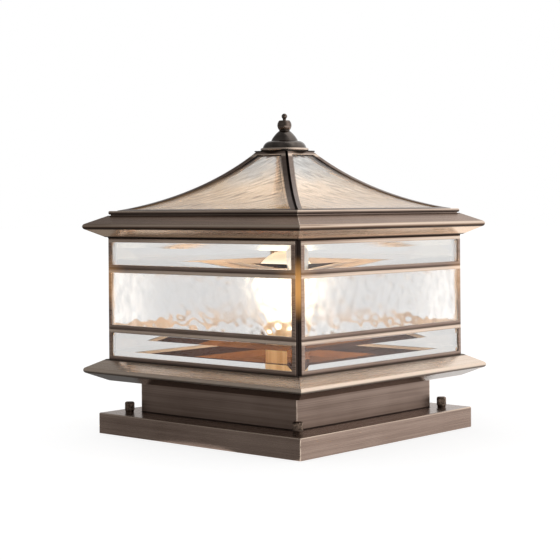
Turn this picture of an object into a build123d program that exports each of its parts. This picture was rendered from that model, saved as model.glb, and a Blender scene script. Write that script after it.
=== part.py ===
from build123d import *
import math
import os

# Pillar lantern in brushed antique brass with bevelled and ripple glass.
# Millimetres, +Z up, origin at the centre of the underside, sides square to X and Y.
# Each "front" piece faces -Y and is turned about Z for the other three sides.

os.makedirs("parts", exist_ok=True)

# Base tray, and the mounting plate that it covers
TRAY_WIDTH = 277.4
TRAY_HEIGHT = 21.2
TRAY_SHEET = 1.5
TRAY_ROUND = 1.2
TRAY_LEDGE = 9.2
PLATE_THICKNESS = 3.0
PLATE_CLEARANCE = 1.0
PILLAR_HOLE_SPACING = 190.0
PILLAR_HOLE_RADIUS = 4.5

# Cable grommet in the middle of the mounting plate
CABLE_RADIUS = 6.0
GROMMET_WALL = 2.0
GROMMET_LIP = 2.5
GROMMET_LIP_HEIGHT = 1.5
GROMMET_CLEARANCE = 0.1

# Terminal block on the mounting plate, and the leads to the lampholder
TERMINAL_LENGTH = 34.0
TERMINAL_WIDTH = 18.0
TERMINAL_HEIGHT = 14.0
TERMINAL_DISTANCE = 35.0
TERMINAL_END_WALL = 2.0
TERMINAL_POLES = 3
TERMINAL_SCREW_RADIUS = 1.8
TERMINAL_SCREW_LENGTH = 4.0
TERMINAL_SCREW_ROW = 9.0
TERMINAL_SLOT_WIDTH = 0.7
TERMINAL_SLOT_DEPTH = 0.8
LEAD_RADIUS = 1.1
LEAD_CLEARANCE = 1.1
LEAD_RUN = 16.0
LEAD_DROP = 21.0
LEAD_BEND = 9.0

# Studs, washers and thumb nuts
STUD_STANDOFF = 8.8
STUD_RADIUS = 3.0
STUD_HOLE_CLEARANCE = 0.4
THREAD_CLEARANCE = 0.05
WASHER_RADIUS = 4.4
WASHER_THICKNESS = 0.8
NUT_RADIUS = 5.0
NUT_HEIGHT = 10.2
NUT_CAP = 2.0
NUT_ROUND = 1.4
NUT_KNURL_COUNT = 24
NUT_KNURL_DEPTH = 0.35
NUT_KNURL_STOP = 1.2
STUD_TIP_GAP = 0.6

# Neck box between the tray and the lower eave
NECK_WIDTH = 214.4
NECK_HEIGHT = 33.4
NECK_SHEET = 1.5

# Eave moulding: at the bottom of the body, and upside down at its top
EAVE_WIDTH = 300.0
EAVE_OVERHANG = 17.0
EAVE_FAR_SETBACK = 2.2
EAVE_HEIGHT = 22.4
EAVE_SHEET = 1.2
EAVE_NOSE_RADIUS = 3.3
EAVE_LEDGE_DEPTH = 15.0
EAVE_FOOT_OVERLAP = 4.0

# Body: channel cames, panes and corner posts
BOTTOM_BAND = 32.1
MIDDLE_BAND = 62.2
TOP_BAND = 31.5
CAME_SIDE = 4.8
CAME_LEVEL = 4.0
CAME_SHEET = 0.7
CAME_ROUND = 1.1
PANE_EDGE = 2.3
PANE_FIT = 0.15
PANE_EDGE_GAP = 0.3
BEVEL_WIDTH = 5.2
BEVEL_RISE = 1.2
POST_LEG = 3.0
POST_SHEET = 1.2

# Ring on top of the body, and the bridge strap across it
RING_SHEET = 1.2
RING_RECESS = 1.8
RING_LEDGE = 14.0
STRAP_WIDTH = 16.0
STRAP_SHEET = 2.0
STRAP_RISE = 20.0
STRAP_FOOT = 12.0
STRAP_FOOT_GAP = 1.0
STRAP_LEG_RUN = 18.0
BOSS_RADIUS = 7.0
BOSS_HEIGHT = 8.0
BRIDGE_SCREW_RADIUS = 1.9
BRIDGE_SCREW_HEAD_RADIUS = 3.6
BRIDGE_SCREW_HEAD = 2.4
BRIDGE_SCREW_TIP = 3.0
BRIDGE_SLOT_WIDTH = 1.0
BRIDGE_SLOT_DEPTH = 1.0

# Roof: rim bead, bent panes in came frames, hip strips
RIM_SETBACK = 2.4
RIM_HEIGHT = 4.8
RIM_FOOT_SHEET = 1.0
RIM_FOOT_RECESS = 1.6
RIM_ROUND = 1.3
RIM_INNER_GAP = 0.7
ROOF_SETBACK = 5.7
ROOF_CURVE = 196.0
ROOF_FOOT_LIFT = 0.4
ROOF_RISE = 60.1
HIP_GROOVE = 2.8
HIP_CAME = 4.3
HIP_STRIP_WIDTH = 13.0
HIP_STRIP_SHEET = 1.2

# Cap plate, spun dome and ball finial
CAP_WIDTH = 44.8
CAP_SHEET = 1.2
DOME_FLANGE_RADIUS = 25.4
DOME_FLANGE = 2.9
DOME_FLANGE_BULGE = 0.9
BOWL_RADIUS = 22.9
BOWL_HEIGHT = 7.3
BOWL_BULGE = 1.6
SHOULDER_RADIUS = 16.0
BELL_RADIUS = 13.8
BELL_FOOT = 1.2
BELL_HEIGHT = 9.3
BELL_BULGE = 0.6
BELL_TOP_RADIUS = 6.0
DOME_SHEET = 1.6
SPINDLE_HOLE_CLEARANCE = 0.35
FINIAL_WASHER_RADIUS = 5.6
FINIAL_WASHER_THICKNESS = 1.0
BALL_RADIUS = 7.5
BALL_HEIGHT = 10.2
STEM_RADIUS = 1.8
STEM_HEIGHT = 2.0
BEAD_RADIUS = 3.0
SPINDLE_ENGAGEMENT = 9.0

# Floor plate, reflector plate, nipple and lampholder
FLOOR_SHEET = 1.2
FLOOR_CLEARANCE = 0.3
WELL_WIDTH = 132.0
WELL_DEPTH = 8.0
REFLECTOR_SHEET = 0.8
REFLECTOR_CLEARANCE = 0.3
NIPPLE_RADIUS = 4.95
NIPPLE_BORE = 3.6
NIPPLE_DROP = 9.0
NIPPLE_HOLE_CLEARANCE = 0.3
NIPPLE_NUT_RADIUS = 8.0
NIPPLE_NUT_HEIGHT = 4.0
CUP_RADIUS = 20.7
CUP_SHEET = 1.0
CUP_HEIGHT = 41.6
CUP_ROUND = 0.4
PORCELAIN_CLEARANCE = 0.3
PORCELAIN_FLOOR = 12.0
PORCELAIN_DROP = 2.0
SHELL_SHEET = 0.9
SHELL_CLEARANCE = 0.3
HOLDER_CONTACT_RADIUS = 6.0
HOLDER_CONTACT_SHEET = 0.8
HOLDER_CONTACT_TIP = 0.4
HOLDER_CONTACT_TIP_RADIUS = 3.0

# Bulb
BULB_GLOBE_RADIUS = 30.0
BULB_HEIGHT = 103.6
BULB_GLASS = 0.9
BULB_NECK_RADIUS = 14.6
BULB_NECK_HEIGHT = 7.0
BULB_CAP_RADIUS = 13.05
BULB_CAP_HEIGHT = 23.0
BULB_CAP_SHEET = 0.6
BULB_CAP_FLARE = 1.8
BULB_THREAD_TURNS = 5
BULB_THREAD_PITCH = 3.63
BULB_THREAD_DEPTH = 0.8
INSULATOR_RADIUS = 5.2
INSULATOR_HEIGHT = 2.6
CONTACT_RADIUS = 4.4
CONTACT_HEIGHT = 1.8
CONTACT_GAP = 0.1
STEM_FLARE_GAP = 0.5
STEM_FLARE_HEIGHT = 4.0
STEM_GLASS_RADIUS = 3.0
STEM_LENGTH = 52.0
SPIDER_RADIUS = 8.0
SPIDER_SHEET = 1.6
FILAMENT_RADIUS = 1.0
FILAMENT_CIRCLE = 6.2
FILAMENT_LENGTH = 36.0
FILAMENT_COUNT = 4

# Levels, from the underside up
TRAY_TOP = TRAY_HEIGHT
NECK_TOP = TRAY_TOP + NECK_HEIGHT
BODY_FLOOR = NECK_TOP + EAVE_HEIGHT
MIDDLE_LEVEL = BODY_FLOOR + BOTTOM_BAND
UPPER_LEVEL = MIDDLE_LEVEL + MIDDLE_BAND
BODY_TOP = UPPER_LEVEL + TOP_BAND
RING_TOP = BODY_TOP + RING_SHEET
ROOF_FLOOR = RING_TOP + EAVE_HEIGHT
RIM_TOP = ROOF_FLOOR + RIM_HEIGHT
ROOF_FOOT = RIM_TOP + ROOF_FOOT_LIFT
CAP_LEVEL = ROOF_FOOT + ROOF_RISE
CAP_TOP = CAP_LEVEL + CAP_SHEET

# Half widths and the planes that the sections are drawn on
EAVE_HALF = EAVE_WIDTH / 2
BODY_HALF = EAVE_HALF - EAVE_OVERHANG
EAVE_FAR_HALF = BODY_HALF - EAVE_FAR_SETBACK
LEDGE_HALF = BODY_HALF - EAVE_LEDGE_DEPTH
CAME_DEPTH = PANE_EDGE + 2 * (CAME_SHEET + PANE_FIT)
POST_HALF = BODY_HALF - CAME_DEPTH
FRAME_WIDTH = 2 * POST_HALF
SIDE_SECTION = Plane(origin=(0, 0, 0), x_dir=(0, -1, 0), z_dir=(-1, 0, 0))
SIDES = ("front", "right", "back", "left")
QUARTER_TURN = math.degrees(math.tau) / len(SIDES)
TURNS = {side: place * QUARTER_TURN for place, side in enumerate(SIDES)}


def front_plane(depth, level):
    """Upright plane that faces the front, this far behind the body's face, centred at this level."""
    return Plane(origin=(0, depth - BODY_HALF, level), x_dir=(1, 0, 0), z_dir=(0, -1, 0))


def turned(piece, side):
    """The front piece, turned about Z to another side."""
    return piece.rotate(Axis.Z, TURNS[side])


def group(pieces, name):
    """Pieces that touch but stay separate solids, under one name."""
    pieces_together = Compound([solid for piece in pieces for solid in piece.solids()])
    pieces_together.label = name
    return pieces_together


def save(piece, name):
    """Labels a piece and writes it."""
    piece.label = name
    export_step(piece, f"parts/{name}.step")


def front_wedge(gap):
    """Plan triangle of the front side, with its two mitres this far from the diagonals."""
    reach = EAVE_WIDTH
    inset = gap * math.sqrt(2)
    return [(0, -inset), (inset - reach, -reach), (reach - inset, -reach)]


def mitred(points, edge_round=0.0):
    """A front length of a closed section of straight lines, mitred at both ends.

    Where edge_round is given, the two outermost corners of the section are rounded.
    """
    with BuildPart() as length:
        with BuildSketch(SIDE_SECTION) as section:
            with BuildLine():
                Polyline(*points, close=True)
            make_face()
            if edge_round:
                fillet(section.vertices().sort_by(Axis.X)[-2:], edge_round)
        extrude(amount=EAVE_WIDTH, both=True)
        with BuildSketch():
            with BuildLine():
                Polyline(*front_wedge(0), close=True)
            make_face()
        extrude(amount=CAP_TOP, mode=Mode.INTERSECT)
    return length.part


def tangent_angle(point, centre, radius):
    """Angle below level of the line from point that just touches the outer side of a circle."""
    away = centre[0] - point[0]
    down = point[1] - centre[1]
    return math.atan2(down, away) - math.asin(radius / math.hypot(away, down))


def eave_length(level, foot_reach, bottom_half, top_half):
    """A front length of an eave: sheet folded to a wedge with a bullnose, open at the back.

    The slopes leave the given half widths at its bottom and top and touch the nose's circle.
    """
    top = level + EAVE_HEIGHT
    middle = level + EAVE_HEIGHT / 2
    nose = (EAVE_HALF - EAVE_NOSE_RADIUS, middle)
    inner_radius = EAVE_NOSE_RADIUS - EAVE_SHEET
    bottom_slope = tangent_angle((bottom_half, top), nose, EAVE_NOSE_RADIUS)
    top_slope = tangent_angle((top_half, top), nose, EAVE_NOSE_RADIUS)
    bottom_bend = bottom_half - EAVE_SHEET * math.tan(bottom_slope / 2)
    top_bend = top_half - EAVE_SHEET * math.tan(top_slope / 2)

    def low_touch(radius):
        return (nose[0] + radius * math.sin(bottom_slope), middle - radius * math.cos(bottom_slope))

    def high_touch(radius):
        return (nose[0] + radius * math.sin(top_slope), middle + radius * math.cos(top_slope))

    with BuildPart() as length:
        with BuildSketch(SIDE_SECTION):
            with BuildLine():
                Polyline((foot_reach, level), (bottom_half, level), low_touch(EAVE_NOSE_RADIUS))
                ThreePointArc(
                    low_touch(EAVE_NOSE_RADIUS), (EAVE_HALF, middle), high_touch(EAVE_NOSE_RADIUS)
                )
                Polyline(
                    high_touch(EAVE_NOSE_RADIUS),
                    (top_half, top),
                    (LEDGE_HALF, top),
                    (LEDGE_HALF, top - EAVE_SHEET),
                    (top_bend, top - EAVE_SHEET),
                    high_touch(inner_radius),
                )
                ThreePointArc(
                    high_touch(inner_radius), (EAVE_HALF - EAVE_SHEET, middle), low_touch(inner_radius)
                )
                Polyline(
                    low_touch(inner_radius),
                    (bottom_bend, level + EAVE_SHEET),
                    (foot_reach, level + EAVE_SHEET),
                    (foot_reach, level),
                )
            make_face()
        extrude(amount=EAVE_WIDTH, both=True)
        with BuildSketch():
            with BuildLine():
                Polyline(*front_wedge(0), close=True)
            make_face()
        extrude(amount=CAP_TOP, mode=Mode.INTERSECT)
    return length.part


# Mounting plate: steel sheet that is bolted to the pillar and carries the studs
PLATE_WIDTH = TRAY_WIDTH - 2 * (TRAY_SHEET + PLATE_CLEARANCE)
GROMMET_RADIUS = CABLE_RADIUS + GROMMET_WALL
with BuildPart() as mounting_plate:
    with BuildSketch():
        Rectangle(PLATE_WIDTH, PLATE_WIDTH)
        Circle(GROMMET_RADIUS + GROMMET_CLEARANCE, mode=Mode.SUBTRACT)
        with GridLocations(PILLAR_HOLE_SPACING, PILLAR_HOLE_SPACING, 2, 2):
            Circle(PILLAR_HOLE_RADIUS, mode=Mode.SUBTRACT)
    extrude(amount=PLATE_THICKNESS)
save(mounting_plate.part, "mounting_plate")

# Studs that stand on the plate, clear of the neck, and pass through the tray into the thumb nuts
STUD_SPACING = NECK_WIDTH + 2 * STUD_STANDOFF
NUT_BASE = TRAY_TOP + WASHER_THICKNESS
STUD_TOP = NUT_BASE + NUT_HEIGHT - NUT_CAP - STUD_TIP_GAP
with BuildPart() as mounting_studs:
    with BuildSketch(Plane.XY.offset(PLATE_THICKNESS)):
        with GridLocations(STUD_SPACING, STUD_SPACING, 2, 2):
            Circle(STUD_RADIUS)
    extrude(amount=STUD_TOP - PLATE_THICKNESS)
save(mounting_studs.part, "mounting_studs")

# Rubber grommet: a collar with a lip on the plate's upper face
with BuildPart() as cable_grommet:
    with BuildSketch():
        Circle(GROMMET_RADIUS)
        Circle(CABLE_RADIUS, mode=Mode.SUBTRACT)
    extrude(amount=PLATE_THICKNESS)
    with BuildSketch(Plane.XY.offset(PLATE_THICKNESS)):
        Circle(GROMMET_RADIUS + GROMMET_LIP)
        Circle(CABLE_RADIUS, mode=Mode.SUBTRACT)
    extrude(amount=GROMMET_LIP_HEIGHT)
save(cable_grommet.part, "cable_grommet")

# Terminal block: a moulded bar with a wire hole and two screw wells for each pole
TERMINAL_TOP = PLATE_THICKNESS + TERMINAL_HEIGHT
TERMINAL_MIDDLE = TERMINAL_DISTANCE + TERMINAL_WIDTH / 2
TERMINAL_WIRE_LEVEL = PLATE_THICKNESS + TERMINAL_HEIGHT / 2
TERMINAL_WELL_DEPTH = TERMINAL_HEIGHT / 2
TERMINAL_PITCH = (TERMINAL_LENGTH - 2 * TERMINAL_END_WALL) / TERMINAL_POLES
with BuildPart() as terminal_block:
    with BuildSketch(Plane((TERMINAL_MIDDLE, 0, PLATE_THICKNESS))):
        Rectangle(TERMINAL_WIDTH, TERMINAL_LENGTH)
    extrude(amount=TERMINAL_HEIGHT)
    with BuildSketch(Plane((TERMINAL_MIDDLE, 0, TERMINAL_TOP))):
        with GridLocations(TERMINAL_SCREW_ROW, TERMINAL_PITCH, 2, TERMINAL_POLES):
            Circle(TERMINAL_SCREW_RADIUS + THREAD_CLEARANCE)
    extrude(amount=-TERMINAL_WELL_DEPTH, mode=Mode.SUBTRACT)
save(terminal_block.part, "terminal_block")

# Slotted screws at the bottom of the terminal block's wells
TERMINAL_SCREW_BASE = TERMINAL_TOP - TERMINAL_WELL_DEPTH
with BuildPart() as terminal_screws:
    with BuildSketch(Plane((TERMINAL_MIDDLE, 0, TERMINAL_SCREW_BASE))):
        with GridLocations(TERMINAL_SCREW_ROW, TERMINAL_PITCH, 2, TERMINAL_POLES):
            Circle(TERMINAL_SCREW_RADIUS)
    extrude(amount=TERMINAL_SCREW_LENGTH)
    with BuildSketch(Plane((TERMINAL_MIDDLE, 0, TERMINAL_SCREW_BASE + TERMINAL_SCREW_LENGTH))):
        with GridLocations(TERMINAL_SCREW_ROW, TERMINAL_PITCH, 2, TERMINAL_POLES):
            Rectangle(TERMINAL_SLOT_WIDTH, 2 * TERMINAL_SCREW_RADIUS)
    extrude(amount=-TERMINAL_SLOT_DEPTH, mode=Mode.SUBTRACT)
save(terminal_screws.part, "terminal_screws")

# Base tray: folded sheet, open underneath, with an opening inside the neck
TRAY_OPENING = NECK_WIDTH - 2 * TRAY_LEDGE
with BuildPart() as base_tray:
    with BuildSketch():
        Rectangle(TRAY_WIDTH, TRAY_WIDTH)
    extrude(amount=TRAY_HEIGHT)
    fillet(base_tray.edges().filter_by(Axis.Z), TRAY_ROUND)
    fillet(base_tray.faces().sort_by(Axis.Z)[-1].edges(), TRAY_ROUND)
    with BuildSketch():
        Rectangle(TRAY_WIDTH - 2 * TRAY_SHEET, TRAY_WIDTH - 2 * TRAY_SHEET)
    extrude(amount=TRAY_HEIGHT - TRAY_SHEET, mode=Mode.SUBTRACT)
    with BuildSketch():
        Rectangle(TRAY_OPENING, TRAY_OPENING)
        with GridLocations(STUD_SPACING, STUD_SPACING, 2, 2):
            Circle(STUD_RADIUS + STUD_HOLE_CLEARANCE)
    extrude(amount=TRAY_HEIGHT, mode=Mode.SUBTRACT)
save(base_tray.part, "base_tray")

# Captive washers and knurled thumb nuts, one of each on every stud
STUD_PLACES = {
    "front_left": (-STUD_SPACING / 2, -STUD_SPACING / 2),
    "front_right": (STUD_SPACING / 2, -STUD_SPACING / 2),
    "back_left": (-STUD_SPACING / 2, STUD_SPACING / 2),
    "back_right": (STUD_SPACING / 2, STUD_SPACING / 2),
}
STUD_BORE = STUD_RADIUS + THREAD_CLEARANCE
for corner, (stud_x, stud_y) in STUD_PLACES.items():
    with BuildPart() as nut_washer:
        with BuildSketch(Plane((stud_x, stud_y, TRAY_TOP))):
            Circle(WASHER_RADIUS)
            Circle(STUD_BORE, mode=Mode.SUBTRACT)
        extrude(amount=WASHER_THICKNESS)
    save(nut_washer.part, f"nut_washer_{corner}")

    with BuildPart() as thumb_nut:
        with BuildSketch(Plane((stud_x, stud_y, NUT_BASE))):
            Circle(NUT_RADIUS)
        extrude(amount=NUT_HEIGHT)
        fillet(thumb_nut.edges().sort_by(Axis.Z)[-1], NUT_ROUND)
        with BuildSketch(Plane((stud_x, stud_y, NUT_BASE))):
            Circle(STUD_BORE)
        extrude(amount=NUT_HEIGHT - NUT_CAP, mode=Mode.SUBTRACT)
        with BuildSketch(Plane((stud_x, stud_y, NUT_BASE + NUT_KNURL_STOP))):
            with PolarLocations(NUT_RADIUS, NUT_KNURL_COUNT):
                Rectangle(NUT_KNURL_DEPTH * math.sqrt(2), NUT_KNURL_DEPTH * math.sqrt(2), 45)
        extrude(amount=NUT_HEIGHT - NUT_KNURL_STOP - NUT_ROUND, mode=Mode.SUBTRACT)
    save(thumb_nut.part, f"thumb_nut_{corner}")

# Neck box: a folded square tube that stands on the tray and carries the lower eave
with BuildPart() as neck_box:
    with BuildSketch(Plane.XY.offset(TRAY_TOP)):
        Rectangle(NECK_WIDTH, NECK_WIDTH)
        Rectangle(NECK_WIDTH - 2 * NECK_SHEET, NECK_WIDTH - 2 * NECK_SHEET, mode=Mode.SUBTRACT)
    extrude(amount=NECK_HEIGHT)
save(neck_box.part, "neck_box")

# Lower eave: four mitred lengths, whose feet reach in over the neck box
LOWER_FOOT = NECK_WIDTH / 2 - NECK_SHEET - EAVE_FOOT_OVERLAP
lower_length = eave_length(NECK_TOP, LOWER_FOOT, EAVE_FAR_HALF, BODY_HALF)
lower_eave = group([turned(lower_length, side) for side in TURNS], "lower_eave")
export_step(lower_eave, "parts/lower_eave.step")

# Floor plate: lies on the eave's ledge inside the posts, with a square well for the lampholder
FLOOR_WIDTH = 2 * (POST_HALF - POST_SHEET - FLOOR_CLEARANCE)
WELL_BASE = BODY_FLOOR - WELL_DEPTH
WELL_FLOOR = WELL_BASE + FLOOR_SHEET
WELL_OUTSIDE = WELL_WIDTH + 2 * FLOOR_SHEET
with BuildPart() as floor_plate:
    with BuildSketch(Plane.XY.offset(BODY_FLOOR)):
        Rectangle(FLOOR_WIDTH, FLOOR_WIDTH)
    extrude(amount=FLOOR_SHEET)
    with BuildSketch(Plane.XY.offset(WELL_BASE)):
        Rectangle(WELL_OUTSIDE, WELL_OUTSIDE)
    extrude(amount=WELL_DEPTH)
    with BuildSketch(Plane.XY.offset(WELL_FLOOR)):
        Rectangle(WELL_WIDTH, WELL_WIDTH)
    extrude(amount=WELL_DEPTH, mode=Mode.SUBTRACT)
    with BuildSketch(Plane.XY.offset(WELL_BASE)):
        Circle(NIPPLE_RADIUS + NIPPLE_HOLE_CLEARANCE)
    extrude(amount=FLOOR_SHEET, mode=Mode.SUBTRACT)
save(floor_plate.part, "floor_plate")

# Reflector plate: a square of bright sheet in the well, round the lampholder's cup
REFLECTOR_WIDTH = WELL_WIDTH - 2 * REFLECTOR_CLEARANCE
with BuildPart() as reflector_plate:
    with BuildSketch(Plane.XY.offset(WELL_FLOOR)):
        Rectangle(REFLECTOR_WIDTH, REFLECTOR_WIDTH)
        Circle(CUP_RADIUS + REFLECTOR_CLEARANCE, mode=Mode.SUBTRACT)
    extrude(amount=REFLECTOR_SHEET)
save(reflector_plate.part, "reflector_plate")

# Lampholder cup: a spun brass cup that stands in the well
CUP_TOP = WELL_FLOOR + CUP_HEIGHT
with BuildPart() as holder_cup:
    with BuildSketch(Plane.XY.offset(WELL_FLOOR)):
        Circle(CUP_RADIUS)
    extrude(amount=CUP_HEIGHT)
    with BuildSketch(Plane.XY.offset(WELL_FLOOR + CUP_SHEET)):
        Circle(CUP_RADIUS - CUP_SHEET)
    extrude(amount=CUP_HEIGHT, mode=Mode.SUBTRACT)
    with BuildSketch(Plane.XY.offset(WELL_FLOOR)):
        Circle(NIPPLE_RADIUS + NIPPLE_HOLE_CLEARANCE)
    extrude(amount=CUP_SHEET, mode=Mode.SUBTRACT)
    fillet(holder_cup.edges().filter_by(GeomType.CIRCLE).group_by(Axis.Z)[-1], CUP_ROUND)
save(holder_cup.part, "holder_cup")

# Porcelain body inside the cup, screwed on to the nipple, bored for the threaded shell
PORCELAIN_BASE = WELL_FLOOR + CUP_SHEET
PORCELAIN_TOP = CUP_TOP - PORCELAIN_DROP
SHELL_BORE = BULB_CAP_RADIUS + SHELL_CLEARANCE
SHELL_RADIUS = SHELL_BORE + SHELL_SHEET
SOCKET_FLOOR = PORCELAIN_BASE + PORCELAIN_FLOOR
with BuildPart() as holder_body:
    with BuildSketch(Plane.XY.offset(PORCELAIN_BASE)):
        Circle(CUP_RADIUS - CUP_SHEET - PORCELAIN_CLEARANCE)
        Circle(NIPPLE_RADIUS + THREAD_CLEARANCE, mode=Mode.SUBTRACT)
    extrude(amount=PORCELAIN_TOP - PORCELAIN_BASE)
    with BuildSketch(Plane.XY.offset(SOCKET_FLOOR)):
        Circle(SHELL_RADIUS + PORCELAIN_CLEARANCE)
    extrude(amount=PORCELAIN_TOP - SOCKET_FLOOR, mode=Mode.SUBTRACT)
save(holder_body.part, "holder_body")

# Threaded shell of the lampholder: a brass ring that stands on the porcelain floor
with BuildPart() as holder_shell:
    with BuildSketch(Plane.XY.offset(SOCKET_FLOOR)):
        Circle(SHELL_RADIUS)
        Circle(SHELL_BORE, mode=Mode.SUBTRACT)
    extrude(amount=PORCELAIN_TOP - SOCKET_FLOOR)
save(holder_shell.part, "holder_shell")

# Centre contact: a leaf on the porcelain floor with a raised tip
with BuildPart() as holder_contact:
    with BuildSketch(Plane.XY.offset(SOCKET_FLOOR)):
        Circle(HOLDER_CONTACT_RADIUS)
    extrude(amount=HOLDER_CONTACT_SHEET)
    with BuildSketch(Plane.XY.offset(SOCKET_FLOOR + HOLDER_CONTACT_SHEET)):
        Circle(HOLDER_CONTACT_TIP_RADIUS)
    extrude(amount=HOLDER_CONTACT_TIP)
save(holder_contact.part, "holder_contact")

# Nipple: a threaded tube through the floor plate into the porcelain
NIPPLE_BASE = WELL_BASE - NIPPLE_DROP
with BuildPart() as lamp_nipple:
    with BuildSketch(Plane.XY.offset(NIPPLE_BASE)):
        Circle(NIPPLE_RADIUS)
        Circle(NIPPLE_BORE, mode=Mode.SUBTRACT)
    extrude(amount=SOCKET_FLOOR - NIPPLE_BASE)
save(lamp_nipple.part, "lamp_nipple")

# Hexagon lock nut on the nipple, against the underside of the well
with BuildPart() as nipple_nut:
    with BuildSketch(Plane.XY.offset(WELL_BASE)):
        RegularPolygon(NIPPLE_NUT_RADIUS, 6)
        Circle(NIPPLE_RADIUS + THREAD_CLEARANCE, mode=Mode.SUBTRACT)
    extrude(amount=-NIPPLE_NUT_HEIGHT)
save(nipple_nut.part, "nipple_nut")

# Lamp leads: from the terminal block towards the middle, up through the nipple to the contact
LEAD_OFFSET = NIPPLE_BORE - LEAD_RADIUS - LEAD_CLEARANCE
lead_solids = []
for side in (-1, 1):
    lead_start = (TERMINAL_DISTANCE, side * TERMINAL_PITCH / 2, TERMINAL_WIRE_LEVEL)
    lead_turn = (TERMINAL_DISTANCE - LEAD_RUN, side * TERMINAL_PITCH / 2, TERMINAL_WIRE_LEVEL)
    lead_rise = (0, side * LEAD_OFFSET, NIPPLE_BASE - LEAD_DROP)
    lead_end = (0, side * LEAD_OFFSET, SOCKET_FLOOR)
    with BuildPart() as lamp_lead:
        with BuildLine() as lead_route:
            FilletPolyline(lead_start, lead_turn, lead_rise, lead_end, radius=LEAD_BEND)
        with BuildSketch(Plane(lead_start, z_dir=(-1, 0, 0))):
            Circle(LEAD_RADIUS)
        sweep(path=lead_route.wire())
    lead_solids.append(lamp_lead.part)
lamp_leads = group(lead_solids, "lamp_leads")
export_step(lamp_leads, "parts/lamp_leads.step")

# Bulb levels: the tip stands just above the lampholder's contact
TIP_LEVEL = SOCKET_FLOOR + HOLDER_CONTACT_SHEET + HOLDER_CONTACT_TIP + CONTACT_GAP
INSULATOR_LEVEL = TIP_LEVEL + CONTACT_HEIGHT
CAP_BASE = INSULATOR_LEVEL + INSULATOR_HEIGHT
CAP_END = CAP_BASE + BULB_CAP_HEIGHT
GLOBE_LEVEL = TIP_LEVEL + BULB_HEIGHT - BULB_GLOBE_RADIUS

# Bulb's centre contact: a solder disc
with BuildPart() as bulb_contact:
    with BuildSketch(Plane.XY.offset(TIP_LEVEL)):
        Circle(CONTACT_RADIUS)
    extrude(amount=CONTACT_HEIGHT)
save(bulb_contact.part, "bulb_contact")

# Insulator: a glass cone between the contact and the cap
with BuildPart() as bulb_insulator:
    with BuildSketch(Plane.XY.offset(INSULATOR_LEVEL)):
        Circle(INSULATOR_RADIUS)
    with BuildSketch(Plane.XY.offset(CAP_BASE)):
        Circle(BULB_CAP_RADIUS - BULB_THREAD_DEPTH)
    loft()
save(bulb_insulator.part, "bulb_insulator")

# Screw cap: a rolled shell whose rounded ridges stand for the thread, flared out at the neck
BULB_THREAD_ROOT = BULB_CAP_RADIUS - BULB_THREAD_DEPTH
BULB_THREAD_START = CAP_BASE + BULB_CAP_SHEET
with BuildPart() as bulb_cap:
    with BuildSketch(Plane.XZ):
        with BuildLine():
            Line((0, CAP_BASE), (BULB_THREAD_ROOT, CAP_BASE))
            Line((BULB_THREAD_ROOT, CAP_BASE), (BULB_THREAD_ROOT, BULB_THREAD_START))
            for ridge in range(BULB_THREAD_TURNS):
                low = BULB_THREAD_START + ridge * BULB_THREAD_PITCH
                ThreePointArc(
                    (BULB_THREAD_ROOT, low),
                    (BULB_CAP_RADIUS, low + BULB_THREAD_PITCH / 2),
                    (BULB_THREAD_ROOT, low + BULB_THREAD_PITCH),
                )
            thread_end = BULB_THREAD_START + BULB_THREAD_TURNS * BULB_THREAD_PITCH
            cap_bore = BULB_THREAD_ROOT - BULB_CAP_SHEET
            Polyline(
                (BULB_THREAD_ROOT, thread_end),
                (BULB_THREAD_ROOT, CAP_END - BULB_CAP_FLARE),
                (BULB_NECK_RADIUS, CAP_END - BULB_CAP_SHEET),
                (BULB_NECK_RADIUS, CAP_END),
                (cap_bore, CAP_END),
                (cap_bore, BULB_THREAD_START),
                (0, BULB_THREAD_START),
                (0, CAP_BASE),
            )
        make_face()
    revolve(axis=Axis.Z)
save(bulb_cap.part, "bulb_cap")


def envelope_outline(neck_radius, globe_radius, neck_end):
    """Half outline of the bulb's glass: neck, a cone that touches the globe, then the globe."""
    fall = GLOBE_LEVEL - neck_end
    away = math.hypot(neck_radius, fall)
    lean = math.asin(globe_radius / away) - math.atan2(neck_radius, fall)
    touch = (globe_radius * math.cos(lean), GLOBE_LEVEL - globe_radius * math.sin(lean))
    middle = math.radians(45) - lean / 2
    side = (globe_radius * math.cos(middle), GLOBE_LEVEL + globe_radius * math.sin(middle))
    return touch, side, (0, GLOBE_LEVEL + globe_radius)


# Envelope: one blown shell, open at the neck, seated on the cap's rim
NECK_END = CAP_END + BULB_NECK_HEIGHT
with BuildPart() as bulb_envelope:
    with BuildSketch(Plane.XZ):
        inner_neck = BULB_NECK_RADIUS - BULB_GLASS
        outer_touch, outer_side, outer_top = envelope_outline(
            BULB_NECK_RADIUS, BULB_GLOBE_RADIUS, NECK_END
        )
        inner_touch, inner_side, inner_top = envelope_outline(
            inner_neck, BULB_GLOBE_RADIUS - BULB_GLASS, NECK_END
        )
        with BuildLine():
            Polyline((BULB_NECK_RADIUS, CAP_END), (BULB_NECK_RADIUS, NECK_END), outer_touch)
            ThreePointArc(outer_touch, outer_side, outer_top)
            Line(outer_top, inner_top)
            ThreePointArc(inner_top, inner_side, inner_touch)
            Polyline(inner_touch, (inner_neck, NECK_END), (inner_neck, CAP_END))
            Line((inner_neck, CAP_END), (BULB_NECK_RADIUS, CAP_END))
        make_face()
    revolve(axis=Axis.Z)
save(bulb_envelope.part, "bulb_envelope")

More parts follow.
